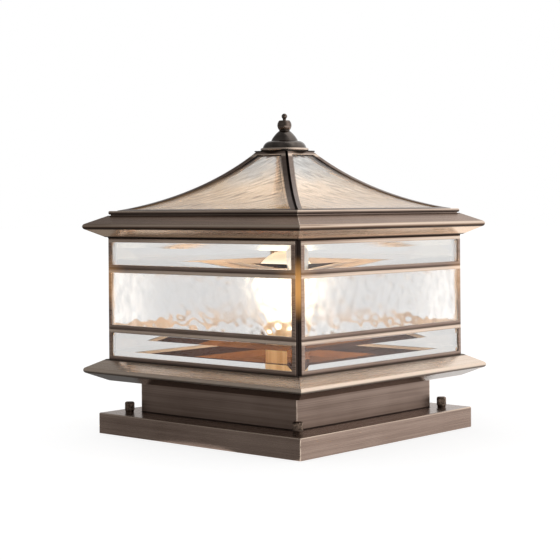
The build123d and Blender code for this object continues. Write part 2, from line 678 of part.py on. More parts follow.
# Glass stem: a flare on the cap's rim, a rod, and two discs that hold the filaments
SPIDER_LEVEL = CAP_END + STEM_LENGTH - SPIDER_SHEET
LOWER_SPIDER = SPIDER_LEVEL - FILAMENT_LENGTH - SPIDER_SHEET
with BuildPart() as filament_stem:
    with BuildSketch(Plane.XY.offset(CAP_END)):
        Circle(BULB_NECK_RADIUS - BULB_GLASS - STEM_FLARE_GAP)
    with BuildSketch(Plane.XY.offset(CAP_END + STEM_FLARE_HEIGHT)):
        Circle(STEM_GLASS_RADIUS)
    loft()
    with BuildSketch(Plane.XY.offset(CAP_END + STEM_FLARE_HEIGHT)):
        Circle(STEM_GLASS_RADIUS)
    extrude(amount=STEM_LENGTH - STEM_FLARE_HEIGHT)
    for disc in (LOWER_SPIDER, SPIDER_LEVEL):
        with BuildSketch(Plane.XY.offset(disc)):
            Circle(SPIDER_RADIUS)
        extrude(amount=SPIDER_SHEET)
save(filament_stem.part, "filament_stem")

# Filaments: straight rods between the stem's two discs
with BuildPart() as led_filaments:
    with BuildSketch(Plane.XY.offset(LOWER_SPIDER + SPIDER_SHEET)):
        with PolarLocations(FILAMENT_CIRCLE, FILAMENT_COUNT):
            Circle(FILAMENT_RADIUS)
    extrude(amount=FILAMENT_LENGTH)
save(led_filaments.part, "led_filaments")

# Corner posts: folded angles behind the cames, seen in the notch between two sides
post_leg_far = POST_HALF - POST_LEG
post_inner = POST_HALF - POST_SHEET
with BuildPart() as corner_posts:
    with BuildSketch(Plane.XY.offset(BODY_FLOOR)):
        with PolarLocations(0, len(TURNS)):
            Polygon(
                (POST_HALF, -POST_HALF),
                (POST_HALF, -post_leg_far),
                (post_inner, -post_leg_far),
                (post_inner, -post_inner),
                (post_leg_far, -post_inner),
                (post_leg_far, -POST_HALF),
                align=None,
            )
    extrude(amount=BODY_TOP - BODY_FLOOR)
save(corner_posts.part, "corner_posts")


def came_frame(level, height):
    """Channel frame round one front pane: a slab with a window and a groove for the glass."""
    middle = level + height / 2
    with BuildPart() as frame:
        with BuildSketch(front_plane(CAME_DEPTH, middle)):
            Rectangle(FRAME_WIDTH, height)
            Rectangle(FRAME_WIDTH - 2 * CAME_SIDE, height - 2 * CAME_LEVEL, mode=Mode.SUBTRACT)
        extrude(amount=CAME_DEPTH)
        with BuildSketch(front_plane(CAME_DEPTH - CAME_SHEET, middle)):
            Rectangle(FRAME_WIDTH - 2 * CAME_SHEET, height - 2 * CAME_SHEET)
        extrude(amount=CAME_DEPTH - 2 * CAME_SHEET, mode=Mode.SUBTRACT)
        fillet(frame.faces().sort_by(Axis.Y)[0].outer_wire().edges(), CAME_ROUND)
    return frame.part


def plain_pane(level, height):
    """Front pane of even thickness, held in the groove of its came frame."""
    inset = 2 * (CAME_SHEET + PANE_EDGE_GAP)
    with BuildPart() as pane:
        with BuildSketch(front_plane(CAME_SHEET + PANE_FIT + PANE_EDGE, level + height / 2)):
            Rectangle(FRAME_WIDTH - inset, height - inset)
        extrude(amount=PANE_EDGE)
    return pane.part


def bevelled_pane(level, height):
    """Front pane whose outer face rises from a flat margin in the groove by a wide bevel."""
    middle = level + height / 2
    window_width = FRAME_WIDTH - 2 * (CAME_SIDE + PANE_EDGE_GAP)
    window_height = height - 2 * (CAME_LEVEL + PANE_EDGE_GAP)
    blank = plain_pane(level, height)
    with BuildPart() as pane:
        add(blank)
        with BuildSketch(front_plane(CAME_SHEET + PANE_FIT, middle)):
            Rectangle(window_width, window_height)
        with BuildSketch(front_plane(CAME_SHEET + PANE_FIT - BEVEL_RISE, middle)):
            Rectangle(window_width - 2 * BEVEL_WIDTH, window_height - 2 * BEVEL_WIDTH)
        loft()
    return pane.part


# Came frames: three on each side, one above the other, soldered where they touch
BANDS = [(BODY_FLOOR, BOTTOM_BAND), (MIDDLE_LEVEL, MIDDLE_BAND), (UPPER_LEVEL, TOP_BAND)]
front_frames = [came_frame(level, height) for level, height in BANDS]
for side in TURNS:
    side_cames = group([turned(frame, side) for frame in front_frames], f"{side}_cames")
    export_step(side_cames, f"parts/{side}_cames.step")

# Panes: bevelled clear glass below and above, a ripple pane on each side between them
for band_name, (level, height) in (("bottom_panes", BANDS[0]), ("top_panes", BANDS[2])):
    bevelled = bevelled_pane(level, height)
    band_panes = group([turned(bevelled, side) for side in TURNS], band_name)
    export_step(band_panes, f"parts/{band_name}.step")
ripple_pane = plain_pane(MIDDLE_LEVEL, MIDDLE_BAND)
for side in TURNS:
    save(turned(ripple_pane, side), f"{side}_ripple_pane")

# Ring on the body's top: four mitred strips, two of them drilled for the bridge strap
RING_HALF = BODY_HALF - RING_RECESS
RING_INNER = LEDGE_HALF - RING_LEDGE
BRIDGE_SCREW_REACH = LEDGE_HALF - STRAP_FOOT_GAP - STRAP_FOOT / 2
ring_strip = mitred(
    [
        (RING_INNER, BODY_TOP),
        (RING_HALF, BODY_TOP),
        (RING_HALF, RING_TOP),
        (RING_INNER, RING_TOP),
    ]
)
with BuildPart() as drilled_strip:
    add(ring_strip)
    with BuildSketch(Plane((0, -BRIDGE_SCREW_REACH, BODY_TOP))):
        Circle(BRIDGE_SCREW_RADIUS + THREAD_CLEARANCE)
    extrude(amount=RING_SHEET, mode=Mode.SUBTRACT)
body_top_ring = group(
    [
        turned(ring_strip, "front"),
        turned(ring_strip, "back"),
        turned(drilled_strip.part, "left"),
        turned(drilled_strip.part, "right"),
    ],
    "body_top_ring",
)
export_step(body_top_ring, "parts/body_top_ring.step")

# Bridge strap: a bent strip across the ring, arched over the bulb, with a threaded boss
STRAP_END = LEDGE_HALF - STRAP_FOOT_GAP
STRAP_BEND = STRAP_END - STRAP_FOOT
STRAP_TOP_BEND = STRAP_BEND - STRAP_LEG_RUN
STRAP_LEVEL = RING_TOP + STRAP_RISE
bend_shift = STRAP_SHEET * math.tan(math.atan2(STRAP_RISE, STRAP_LEG_RUN) / 2)
strap_lower = [(STRAP_END, RING_TOP), (STRAP_BEND, RING_TOP), (STRAP_TOP_BEND, STRAP_LEVEL)]
strap_upper = [
    (STRAP_TOP_BEND + bend_shift, STRAP_LEVEL + STRAP_SHEET),
    (STRAP_BEND + bend_shift, RING_TOP + STRAP_SHEET),
    (STRAP_END, RING_TOP + STRAP_SHEET),
]
strap_outline = strap_lower + [(-x, z) for x, z in reversed(strap_lower)]
strap_outline += [(-x, z) for x, z in reversed(strap_upper)] + strap_upper
with BuildPart() as bridge_strap:
    with BuildSketch(Plane.XZ):
        with BuildLine():
            Polyline(*strap_outline, close=True)
        make_face()
    extrude(amount=STRAP_WIDTH / 2, both=True)
    with BuildSketch(Plane.XY.offset(STRAP_LEVEL)):
        Circle(BOSS_RADIUS)
    extrude(amount=-BOSS_HEIGHT)
    with BuildSketch(Plane.XY.offset(STRAP_LEVEL - BOSS_HEIGHT)):
        Circle(STUD_BORE)
    extrude(amount=BOSS_HEIGHT + STRAP_SHEET, mode=Mode.SUBTRACT)
    with BuildSketch(Plane.XY.offset(RING_TOP)):
        with GridLocations(2 * BRIDGE_SCREW_REACH, 0, 2, 1):
            Circle(BRIDGE_SCREW_RADIUS + STUD_HOLE_CLEARANCE)
    extrude(amount=STRAP_SHEET, mode=Mode.SUBTRACT)
save(bridge_strap.part, "bridge_strap")

# Slotted screws that hold the strap's feet to the ring
SCREW_SEAT = RING_TOP + STRAP_SHEET
with BuildPart() as bridge_screws:
    with BuildSketch(Plane.XY.offset(BODY_TOP - BRIDGE_SCREW_TIP)):
        with GridLocations(2 * BRIDGE_SCREW_REACH, 0, 2, 1):
            Circle(BRIDGE_SCREW_RADIUS)
    extrude(amount=SCREW_SEAT - BODY_TOP + BRIDGE_SCREW_TIP)
    with BuildSketch(Plane.XY.offset(SCREW_SEAT)):
        with GridLocations(2 * BRIDGE_SCREW_REACH, 0, 2, 1):
            Circle(BRIDGE_SCREW_HEAD_RADIUS)
    extrude(amount=BRIDGE_SCREW_HEAD)
    with BuildSketch(Plane.XY.offset(SCREW_SEAT + BRIDGE_SCREW_HEAD)):
        with GridLocations(2 * BRIDGE_SCREW_REACH, 0, 2, 1):
            Rectangle(2 * BRIDGE_SCREW_HEAD_RADIUS, BRIDGE_SLOT_WIDTH)
    extrude(amount=-BRIDGE_SLOT_DEPTH, mode=Mode.SUBTRACT)
save(bridge_screws.part, "bridge_screws")

# Upper eave: four mitred lengths that rest on the body's ring
upper_length = eave_length(RING_TOP, LEDGE_HALF, BODY_HALF, EAVE_FAR_HALF)
upper_eave = group([turned(upper_length, side) for side in TURNS], "upper_eave")
export_step(upper_eave, "parts/upper_eave.step")

# Roof rim: a bead on a recessed foot, in four mitred lengths on the upper eave
RIM_HALF = BODY_HALF - RIM_SETBACK
ROOF_FOOT_HALF = RIM_HALF - ROOF_SETBACK
RIM_FOOT = ROOF_FLOOR + RIM_FOOT_SHEET
RIM_INNER = ROOF_FOOT_HALF + RIM_INNER_GAP
rim_length = mitred(
    [
        (LEDGE_HALF, ROOF_FLOOR),
        (RIM_HALF - RIM_FOOT_RECESS, ROOF_FLOOR),
        (RIM_HALF - RIM_FOOT_RECESS, RIM_FOOT),
        (RIM_HALF, RIM_FOOT),
        (RIM_HALF, RIM_TOP),
        (RIM_INNER, RIM_TOP),
        (RIM_INNER, RIM_FOOT),
        (LEDGE_HALF, RIM_FOOT),
    ],
    RIM_ROUND,
)
roof_rim = group([turned(rim_length, side) for side in TURNS], "roof_rim")
export_step(roof_rim, "parts/roof_rim.step")

# Roof curve: a hollow arc from the rim to the cap plate, its centre outside and above the roof
foot_point = (ROOF_FOOT_HALF, ROOF_FOOT)
head_point = (CAP_WIDTH / 2, CAP_LEVEL)
chord_run = head_point[0] - foot_point[0]
chord_rise = head_point[1] - foot_point[1]
chord = math.hypot(chord_run, chord_rise)
centre_away = math.sqrt(ROOF_CURVE**2 - (chord / 2) ** 2) / chord
ROOF_CENTRE = (
    (foot_point[0] + head_point[0]) / 2 + centre_away * chord_rise,
    (foot_point[1] + head_point[1]) / 2 - centre_away * chord_run,
)
HEAD_ANGLE = math.degrees(math.atan2(head_point[1] - ROOF_CENTRE[1], head_point[0] - ROOF_CENTRE[0]))
FOOT_ANGLE = math.degrees(math.atan2(foot_point[1] - ROOF_CENTRE[1], foot_point[0] - ROOF_CENTRE[0]))


def roof_slab(top_depth, bottom_depth, gap, foot_trim, head_trim):
    """A bent slab of the front slope, between two depths under the roof's curve.

    It ends at mitres this gap from the diagonals, and at its foot and head it is trimmed back by
    lengths along the curve. A slab with no head trim runs on up and is cut level under the cap.
    """
    trim_angle = math.degrees(1 / ROOF_CURVE)
    head = HEAD_ANGLE + (head_trim if head_trim else -CAP_WIDTH / 2) * trim_angle
    sweep_angle = FOOT_ANGLE - foot_trim * trim_angle - head
    with BuildPart() as slab:
        with BuildSketch(SIDE_SECTION):
            with BuildLine():
                upper = CenterArc(ROOF_CENTRE, ROOF_CURVE + top_depth, head, sweep_angle)
                lower = CenterArc(ROOF_CENTRE, ROOF_CURVE + bottom_depth, head, sweep_angle)
                Line(upper @ 0, lower @ 0)
                Line(upper @ 1, lower @ 1)
            make_face()
        extrude(amount=EAVE_WIDTH, both=True)
        with BuildSketch():
            with BuildLine():
                Polyline(*front_wedge(gap), close=True)
            make_face()
        extrude(amount=CAP_LEVEL, mode=Mode.INTERSECT)
    return slab.part


# Roof came frames: channels that follow the bent panes, with a groove left along each hip
HIP_GAP = HIP_GROOVE / 2
frame_slab = roof_slab(0, CAME_DEPTH, HIP_GAP, 0, 0)
window_slab = roof_slab(-CAME_DEPTH, 2 * CAME_DEPTH, HIP_GAP + HIP_CAME, HIP_CAME, HIP_CAME)
groove_slab = roof_slab(
    CAME_SHEET, CAME_DEPTH - CAME_SHEET, HIP_GAP + CAME_SHEET, CAME_SHEET, CAME_SHEET
)
with BuildPart() as roof_came:
    add(frame_slab)
    add(window_slab, mode=Mode.SUBTRACT)
    add(groove_slab, mode=Mode.SUBTRACT)
for side in TURNS:
    save(turned(roof_came.part, side), f"{side}_roof_came")

# Bent roof panes
pane_inset = CAME_SHEET + PANE_EDGE_GAP
roof_pane = roof_slab(
    CAME_SHEET + PANE_FIT,
    CAME_SHEET + PANE_FIT + PANE_EDGE,
    HIP_GAP + pane_inset,
    pane_inset,
    pane_inset,
)
for side in TURNS:
    save(turned(roof_pane, side), f"{side}_roof_pane")

# Hip strips: folded strips under the came frames, which close the grooves from below
full_strip = roof_slab(CAME_DEPTH, CAME_DEPTH + HIP_STRIP_SHEET, 0, CAME_LEVEL, 0)
inner_strip = roof_slab(CAME_DEPTH, CAME_DEPTH + HIP_STRIP_SHEET, HIP_STRIP_WIDTH / 2, CAME_LEVEL, 0)
with BuildPart() as front_half_strips:
    add(full_strip)
    add(inner_strip, mode=Mode.SUBTRACT)
half_strips = [turned(front_half_strips.part, side) for side in TURNS]
with BuildPart() as hip_strips:
    for half_strip in half_strips:
        add(half_strip)
save(hip_strips.part, "hip_strips")

# Cap plate: closes the roof's head and carries the dome
SPINDLE_HOLE = STUD_RADIUS + SPINDLE_HOLE_CLEARANCE
with BuildPart() as cap_plate:
    with BuildSketch(Plane.XY.offset(CAP_LEVEL)):
        Rectangle(CAP_WIDTH, CAP_WIDTH)
        Circle(SPINDLE_HOLE, mode=Mode.SUBTRACT)
    extrude(amount=CAP_SHEET)
save(cap_plate.part, "cap_plate")


def bulged(start, end, bulge):
    """Middle point of an arc from start to end that swells outwards by bulge."""
    run = end[0] - start[0]
    rise = end[1] - start[1]
    length = math.hypot(run, rise)
    middle = ((start[0] + end[0]) / 2, (start[1] + end[1]) / 2)
    return (middle[0] + bulge * rise / length, middle[1] - bulge * run / length)


# Spun dome: rolled flange, bowl and bell in one hollow shell
BOWL_BASE = CAP_TOP + DOME_FLANGE
BOWL_TOP = BOWL_BASE + BOWL_HEIGHT
BELL_BASE = BOWL_TOP + BELL_FOOT
DOME_TOP = BELL_BASE + BELL_HEIGHT
bowl_start = (BOWL_RADIUS, BOWL_BASE)
bowl_end = (SHOULDER_RADIUS, BOWL_TOP)
bell_start = (BELL_RADIUS, BELL_BASE)
bell_end = (BELL_TOP_RADIUS, DOME_TOP)
flange_foot = (DOME_FLANGE_RADIUS - DOME_FLANGE_BULGE, CAP_TOP)
flange_head = (DOME_FLANGE_RADIUS - DOME_FLANGE_BULGE, BOWL_BASE)
with BuildPart() as finial_dome:
    with BuildSketch(Plane.XZ):
        with BuildLine():
            Polyline(
                (SPINDLE_HOLE, DOME_TOP - DOME_SHEET),
                (BELL_RADIUS - DOME_SHEET, BELL_BASE - DOME_SHEET),
                (SHOULDER_RADIUS - DOME_SHEET, BOWL_TOP - DOME_SHEET),
                (BOWL_RADIUS - DOME_SHEET, BOWL_BASE),
                (BOWL_RADIUS - DOME_SHEET, CAP_TOP),
                flange_foot,
            )
            ThreePointArc(flange_foot, bulged(flange_foot, flange_head, DOME_FLANGE_BULGE), flange_head)
            Line(flange_head, bowl_start)
            ThreePointArc(bowl_start, bulged(bowl_start, bowl_end, BOWL_BULGE), bowl_end)
            Polyline(bowl_end, (BELL_RADIUS, BOWL_TOP), bell_start)
            ThreePointArc(bell_start, bulged(bell_start, bell_end, BELL_BULGE), bell_end)
            Polyline(bell_end, (SPINDLE_HOLE, DOME_TOP), (SPINDLE_HOLE, DOME_TOP - DOME_SHEET))
        make_face()
    revolve(axis=Axis.Z)
save(finial_dome.part, "finial_dome")

# Washer between the dome and the ball
BALL_BASE = DOME_TOP + FINIAL_WASHER_THICKNESS
with BuildPart() as finial_washer:
    with BuildSketch(Plane.XY.offset(DOME_TOP)):
        Circle(FINIAL_WASHER_RADIUS)
        Circle(STUD_BORE, mode=Mode.SUBTRACT)
    extrude(amount=FINIAL_WASHER_THICKNESS)
save(finial_washer.part, "finial_washer")

# Ball finial: spindle, ball, stem and bead turned in one piece
SPINDLE_END = STRAP_LEVEL + STRAP_SHEET - SPINDLE_ENGAGEMENT
BALL_TOP = BALL_BASE + BALL_HEIGHT
ball_end_radius = math.sqrt(BALL_RADIUS**2 - (BALL_HEIGHT / 2) ** 2)
BEAD_LEVEL = BALL_TOP + STEM_HEIGHT + math.sqrt(BEAD_RADIUS**2 - STEM_RADIUS**2)
with BuildPart() as finial:
    with BuildSketch(Plane.XZ):
        with BuildLine():
            Polyline(
                (0, SPINDLE_END),
                (STUD_RADIUS, SPINDLE_END),
                (STUD_RADIUS, BALL_BASE),
                (ball_end_radius, BALL_BASE),
            )
            ThreePointArc(
                (ball_end_radius, BALL_BASE),
                (BALL_RADIUS, (BALL_BASE + BALL_TOP) / 2),
                (ball_end_radius, BALL_TOP),
            )
            Polyline(
                (ball_end_radius, BALL_TOP), (STEM_RADIUS, BALL_TOP), (STEM_RADIUS, BALL_TOP + STEM_HEIGHT)
            )
            ThreePointArc(
                (STEM_RADIUS, BALL_TOP + STEM_HEIGHT),
                (BEAD_RADIUS, BEAD_LEVEL),
                (0, BEAD_LEVEL + BEAD_RADIUS),
            )
            Line((0, BEAD_LEVEL + BEAD_RADIUS), (0, SPINDLE_END))
        make_face()
    revolve(axis=Axis.Z)
save(finial.part, "finial")
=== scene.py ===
import math

import bpy
import numpy as np
from mathutils import Matrix, Vector


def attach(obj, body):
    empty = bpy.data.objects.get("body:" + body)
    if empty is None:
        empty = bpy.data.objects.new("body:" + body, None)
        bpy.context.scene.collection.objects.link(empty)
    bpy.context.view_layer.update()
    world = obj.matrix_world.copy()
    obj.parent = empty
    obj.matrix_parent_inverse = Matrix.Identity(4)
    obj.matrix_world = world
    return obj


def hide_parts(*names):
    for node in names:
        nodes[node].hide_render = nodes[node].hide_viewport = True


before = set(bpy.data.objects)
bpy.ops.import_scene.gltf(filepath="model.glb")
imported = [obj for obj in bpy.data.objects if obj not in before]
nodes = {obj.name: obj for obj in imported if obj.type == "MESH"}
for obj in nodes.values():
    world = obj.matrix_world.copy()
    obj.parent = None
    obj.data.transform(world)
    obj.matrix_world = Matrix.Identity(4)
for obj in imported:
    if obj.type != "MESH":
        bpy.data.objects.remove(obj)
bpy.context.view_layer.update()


# Mounting plate and studs: zinc plated steel sheet that is bolted to the pillar, with four studs
# welded on. The tray covers them, so only the stud tips show when a nut is off.
class Wire:
    """One output of a material's nodes. Sums, products and comparisons of wires add Math nodes."""

    def __init__(self, tree, socket=None):
        self.tree = tree
        self.socket = socket

    def node(self, kind, settings=None, inputs=None, output=0):
        """Adds any node, its settings first and then its values or links, and gives one output."""
        made = self.tree.nodes.new("ShaderNode" + kind)
        for key, value in (settings or {}).items():
            setattr(made, key, value)
        for key, value in (inputs or {}).items():
            if isinstance(value, Wire):
                self.tree.links.new(value.socket, made.inputs[key])
            else:
                made.inputs[key].default_value = value
        return Wire(self.tree, made.outputs[output]) if made.outputs else None

    def math(self, operation, first, second=0.0):
        """A Math node of one or two numbers."""
        return self.node("Math", {"operation": operation}, {0: first, 1: second})

    def __add__(self, other):
        return self.math("ADD", self, other)

    def __sub__(self, other):
        return self.math("SUBTRACT", self, other)

    def __rsub__(self, other):
        return self.math("SUBTRACT", other, self)

    def __mul__(self, other):
        return self.math("MULTIPLY", self, other)

    def __pow__(self, other):
        return self.math("POWER", self, other)

    def __gt__(self, other):
        return self.math("GREATER_THAN", self, other)

    def __abs__(self):
        return self.math("ABSOLUTE", self)

    __radd__ = __add__
    __rmul__ = __mul__

    def larger(self, other):
        return self.math("MAXIMUM", self, other)

    def smaller(self, other):
        return self.math("MINIMUM", self, other)

    def smooth(self, low, high):
        """0 below low, 1 above high, and a smooth step between them."""
        limits = {"Value": self, "From Min": low, "From Max": high}
        return self.node("MapRange", {"interpolation_type": "SMOOTHSTEP"}, limits)

    def between(self, first, second):
        """The colour this far from the first to the second."""
        return self.node("Mix", {"data_type": "RGBA"}, {0: self, 6: first, 7: second}, 2)

    def noise(self, scale, detail=2.0):
        """Cloudy noise at this place, from 0 to 1."""
        return self.node("TexNoise", None, {"Vector": self, "Scale": scale, "Detail": detail})

    def split(self):
        """The three numbers of a vector."""
        parts = self.node("SeparateXYZ", None, {"Vector": self}).socket.node.outputs
        return [Wire(self.tree, part) for part in parts]

    def join(self, x, y, z):
        """A vector of three numbers."""
        return self.node("CombineXYZ", None, {"X": x, "Y": y, "Z": z})


def new_finish(name):
    """An empty material, and the place of each surface point in it, in metres."""
    made = bpy.data.materials.new(name)
    made.use_nodes = True
    made.node_tree.nodes.clear()
    return made, Wire(made.node_tree).node("TexCoord", output="Object")


def principled(place, sockets):
    """One Principled shader with these sockets, written with _ for a space."""
    named = {key.replace("_", " "): value for key, value in sockets.items()}
    return place.node("BsdfPrincipled", None, named)


def surface(place, **sockets):
    """Ends a material in one Principled shader with these sockets."""
    place.node("OutputMaterial", None, {"Surface": principled(place, sockets)})


def mottled(name, dark, light, grain, detail, rough, **others):
    """A material whose colour and roughness follow one cloudy noise.

    The roughness is its first number plus its second times the noise.
    """
    finish, place = new_finish(name)
    cloud = place.noise(grain, detail)
    tint = cloud.between((*dark, 1), (*light, 1))
    surface(place, Base_Color=tint, Roughness=rough[0] + rough[1] * cloud, **others)
    return finish


def dress(finish, *names):
    """Gives CAD pieces their finish."""
    for name in names:
        nodes[name].material_slots[0].material = finish


zinc = mottled(
    "zinc_plate",
    dark=(0.42, 0.42, 0.43),
    light=(0.66, 0.66, 0.65),
    grain=160.0,
    detail=3.0,
    rough=(0.3, 0.25),
    Metallic=1.0,
)
dress(zinc, "mounting_plate", "mounting_studs", "terminal_screws")

# Cable grommet: a black rubber collar pressed into the plate's middle hole, where the supply
# cable comes up out of the pillar.
rubber = mottled(
    "black_rubber",
    dark=(0.018, 0.018, 0.018),
    light=(0.05, 0.049, 0.047),
    grain=240.0,
    detail=4.0,
    rough=(0.6, 0.25),
)
dress(rubber, "cable_grommet")

# Terminal block and lamp leads: a moulded nylon bar on the plate, and two sleeved wires that run
# from it up through the nipple into the lampholder.
nylon = mottled(
    "terminal_nylon",
    dark=(0.72, 0.70, 0.64),
    light=(0.86, 0.84, 0.78),
    grain=90.0,
    detail=3.0,
    rough=(0.4, 0.2),
)
dress(nylon, "terminal_block")
sleeve = mottled(
    "lead_sleeve",
    dark=(0.36, 0.31, 0.26),
    light=(0.56, 0.50, 0.43),
    grain=900.0,
    detail=1.0,
    rough=(0.35, 0.2),
)
dress(sleeve, "lamp_leads")

# Base tray: brass sheet folded to a shallow square tray, welded at the corners, bronzed and then
# brushed along its sides. It drops over the plate, and the neck box stands on it.
DARK_BRONZE, LIGHT_BRONZE = (0.240, 0.166, 0.131), (0.415, 0.306, 0.25)
# Pale bronze that paints the sheen and light on some faces.
PALE_SHEEN_DARK, PALE_SHEEN_LIGHT = (0.90, 0.765, 0.665), (1.0, 0.88, 0.79)
# Rubbed copper for arrises and corners, partly wear and partly a painted highlight.
RUBBED_HIGHLIGHT_COPPER = (0.92, 0.74, 0.60, 1)
# Painted shade: the dark brown put in hollows, gaps and recesses.
SHADE_DARK = (0.035, 0.022, 0.017, 1)
INNER_TAN = (0.66, 0.52, 0.41, 1)


def square_reach(place):
    """The larger of |x| and |y|, which is a point's reach from the axis, and the smaller of them."""
    x, y = place.split()[:2]
    return abs(x).larger(abs(y)), abs(x).smaller(abs(y))


def near_lines(reach, height, lines):
    """1 on lines round the lantern, falling to 0 at their width.

    Each line is a reach from the axis, a height and a width. It runs round a square, or round a
    circle where the reach is a radius. The gap to it is the root of the sum of two squares.
    """
    total = None
    for line_reach, line_height, width in lines:
        gap = ((reach - line_reach) ** 2.0 + (height - line_height) ** 2.0) ** 0.5
        mark = 1.0 - gap.smooth(0.2 * width, width)
        total = total.larger(mark) if total else mark
    return total


def shaded(tint, shade):
    """A colour times one number, or times one number for each of red, green and blue."""
    return (*np.multiply(shade, tint), 1)


def brushed_sockets(
    place,
    gloss,
    arrises=(),
    hollows=(),
    corner_width=0.0012,
    corner_top=None,
    shade=1.0,
    worn=None,
    worn_shade=1.0,
    grime=0.9,
    bare=None,
    metal=1.0,
):
    """Bronzed brass with brush lines along the four sides, as sockets of a Principled shader.

    A point's reach is the larger of |x| and |y|, and its run along the side is the other of x and
    y. The brush lines are noise that is long along the run and fine across it. Arrises, and the
    corners where |x| and |y| are equal, are rubbed bright, partly as wear and partly as a painted
    highlight. Hollows are painted dark, as the shade that falls in them. Below a given height the
    bronze is painted pale, as the sheen and light that fall on it there. Within the bare reach, the
    brass was not bronzed.
    """
    x, y, height = place.split()
    crosswise = abs(x) > abs(y)
    run = x + (y - x) * crosswise
    reach, nearer = square_reach(place)

    def brush_marks(along, across, detail):
        """Noise with this many steps in a metre along the run and across it."""
        return place.join(run * along, reach * across, height * across).noise(1.0, detail)

    hairs = brush_marks(11.0, 2300.0, 2.0)
    bands = brush_marks(4.5, 330.0, 3.0)
    cloud = place.noise(19.0, 2.0)
    tone = (0.4 * hairs + 0.36 * bands + 0.24 * cloud).smooth(0.32, 0.68)
    colour = tone.between(shaded(DARK_BRONZE, shade), shaded(LIGHT_BRONZE, shade))
    # Below the given height, the bronze is painted pale as sheen and light.
    if worn:
        pale_sheen = 1.0 - height.smooth(worn - 0.0015, worn)
        pale = tone.between(shaded(PALE_SHEEN_DARK, worn_shade), shaded(PALE_SHEEN_LIGHT, worn_shade))
        colour = pale_sheen.between(colour, pale)
    # Arrises and corners are rubbed bright: partly wear, partly a painted highlight.
    rubbed_highlight = 1.0 - (reach - nearer).smooth(0.15 * corner_width, corner_width)
    if corner_top:
        rubbed_highlight = rubbed_highlight * (1.0 - height.smooth(corner_top - 0.002, corner_top - 0.001))
    if arrises:
        rubbed_highlight = rubbed_highlight.larger(near_lines(reach, height, arrises))
    rubbed_highlight = rubbed_highlight * bands.smooth(0.2, 0.6)
    colour = (0.85 * rubbed_highlight).between(colour, RUBBED_HIGHLIGHT_COPPER)
    rough = gloss + 0.13 * hairs - 0.06 * rubbed_highlight
    # Hollows are painted dark as shade.
    if hollows:
        kept = near_lines(reach, height, hollows)
        colour = (grime * kept).between(colour, SHADE_DARK)
        rough = rough + 0.3 * kept
    if bare:
        inside = 1.0 - reach.smooth(bare - 0.0005, bare + 0.0005)
        colour = inside.between(colour, INNER_TAN)
        metal = metal - 0.7 * metal * inside
        rough = rough + 0.2 * inside
    lines = place.node("Bump", None, {"Height": hairs, "Strength": 0.16, "Distance": 0.0003})
    return {"Base_Color": colour, "Metallic": metal, "Roughness": rough, "Normal": lines}


def brushed_brass(name, **choices):
    """A material of bronzed and brushed brass."""
    finish, place = new_finish(name)
    surface(place, **brushed_sockets(place, **choices))
    return finish


TRAY_REACH, TRAY_TOP, NECK_REACH = 0.1387, 0.0212, 0.1072
# The top edge is painted bright, partly wear and partly a painted highlight, and a line of painted shade
# runs round the neck's foot.
tray_brass = brushed_brass(
    "tray_brass",
    gloss=0.2,
    arrises=[(TRAY_REACH - 0.0003, TRAY_TOP - 0.0003, 0.0014)],
    hollows=[(NECK_REACH, TRAY_TOP, 0.0022)],
    corner_top=TRAY_TOP,
    metal=0.94,
)
dress(tray_brass, "base_tray")

# Washers and thumb nuts: turned brass, knurled so that fingers grip them. One nut on each stud
# holds the lantern down on its plate, with a plain washer captive under it.
NUT_RADIUS, NUT_BASE, NUT_TOP, NUT_BORE, NUT_BORE_TOP = 0.005, 0.0220, 0.0322, 0.00305, 0.0302
COLLAR_RADIUS, COLLAR_ROUND, COLLAR_TOP = NUT_RADIUS - 0.0004, 0.0004, NUT_BASE + 0.0013
GRIP_FOOT, GRIP_HEAD, CROWN_ROUND, CROWN_FLAT = NUT_BASE + 0.0016, NUT_TOP - 0.0019, 0.0017, 0.0012
NUT_TEETH, TOOTH_DEPTH, TOOTH_COLUMNS = 24, 0.00042, 12
NUT_PLACES = {
    "front_left": (-0.116, -0.116),
    "front_right": (0.116, -0.116),
    "back_left": (-0.116, 0.116),
    "back_right": (0.116, 0.116),
}
SHARP_ANGLE = 0.9


def mesh_of(name, points, *face_sets):
    """A smooth shaded mesh object, with edges kept sharp above an angle in radians."""
    mesh = bpy.data.meshes.new(name)
    faces = [face for face_set in face_sets for face in face_set.tolist()]
    mesh.from_pydata(points.reshape(-1, 3), [], faces)
    mesh.validate()
    mesh.shade_smooth()
    mesh.set_sharp_from_angle(angle=SHARP_ANGLE)
    made = bpy.data.objects.new(name, mesh)
    bpy.context.scene.collection.objects.link(made)
    return made


def turned_mesh(name, radii, heights, centre):
    """A lathe shape from an outline that starts and ends on the axis.

    The radii are a grid, one row for each outline point and one column for each angle. Each inner
    point is radius times the cosine and sine of its angle, and the end rows close to one point.
    """
    rows, columns = radii.shape
    angle = np.linspace(0, 2 * np.pi, columns, endpoint=False)
    ring = np.stack(
        [
            centre[0] + radii * np.cos(angle),
            centre[1] + radii * np.sin(angle),
            np.repeat(heights[:, None], columns, 1),
        ],
        -1,
    )
    poles = np.array([[*centre, heights[0]], [*centre, heights[-1]]])
    points = np.concatenate([ring[1:-1].reshape(-1, 3), poles])
    index = np.arange((rows - 2) * columns).reshape(rows - 2, columns)
    after = np.roll(index, -1, 1)
    walls = np.stack([index[:-1], after[:-1], after[1:], index[1:]], -1).reshape(-1, 4)
    foot = np.full(columns, len(points) - 2)
    head = np.full(columns, len(points) - 1)
    caps = [np.stack([foot, after[0], index[0]], -1), np.stack([head, index[-1], after[-1]], -1)]
    return mesh_of(name, points, walls, *caps)


def rounded(corner, radius, start, end, count=7):
    """Points of a quarter round: the corner's centre plus radius at angles from start to end."""
    angle = np.radians(np.linspace(start, end, count))
    return np.stack([corner[0] + radius * np.cos(angle), corner[1] + radius * np.sin(angle)], -1)


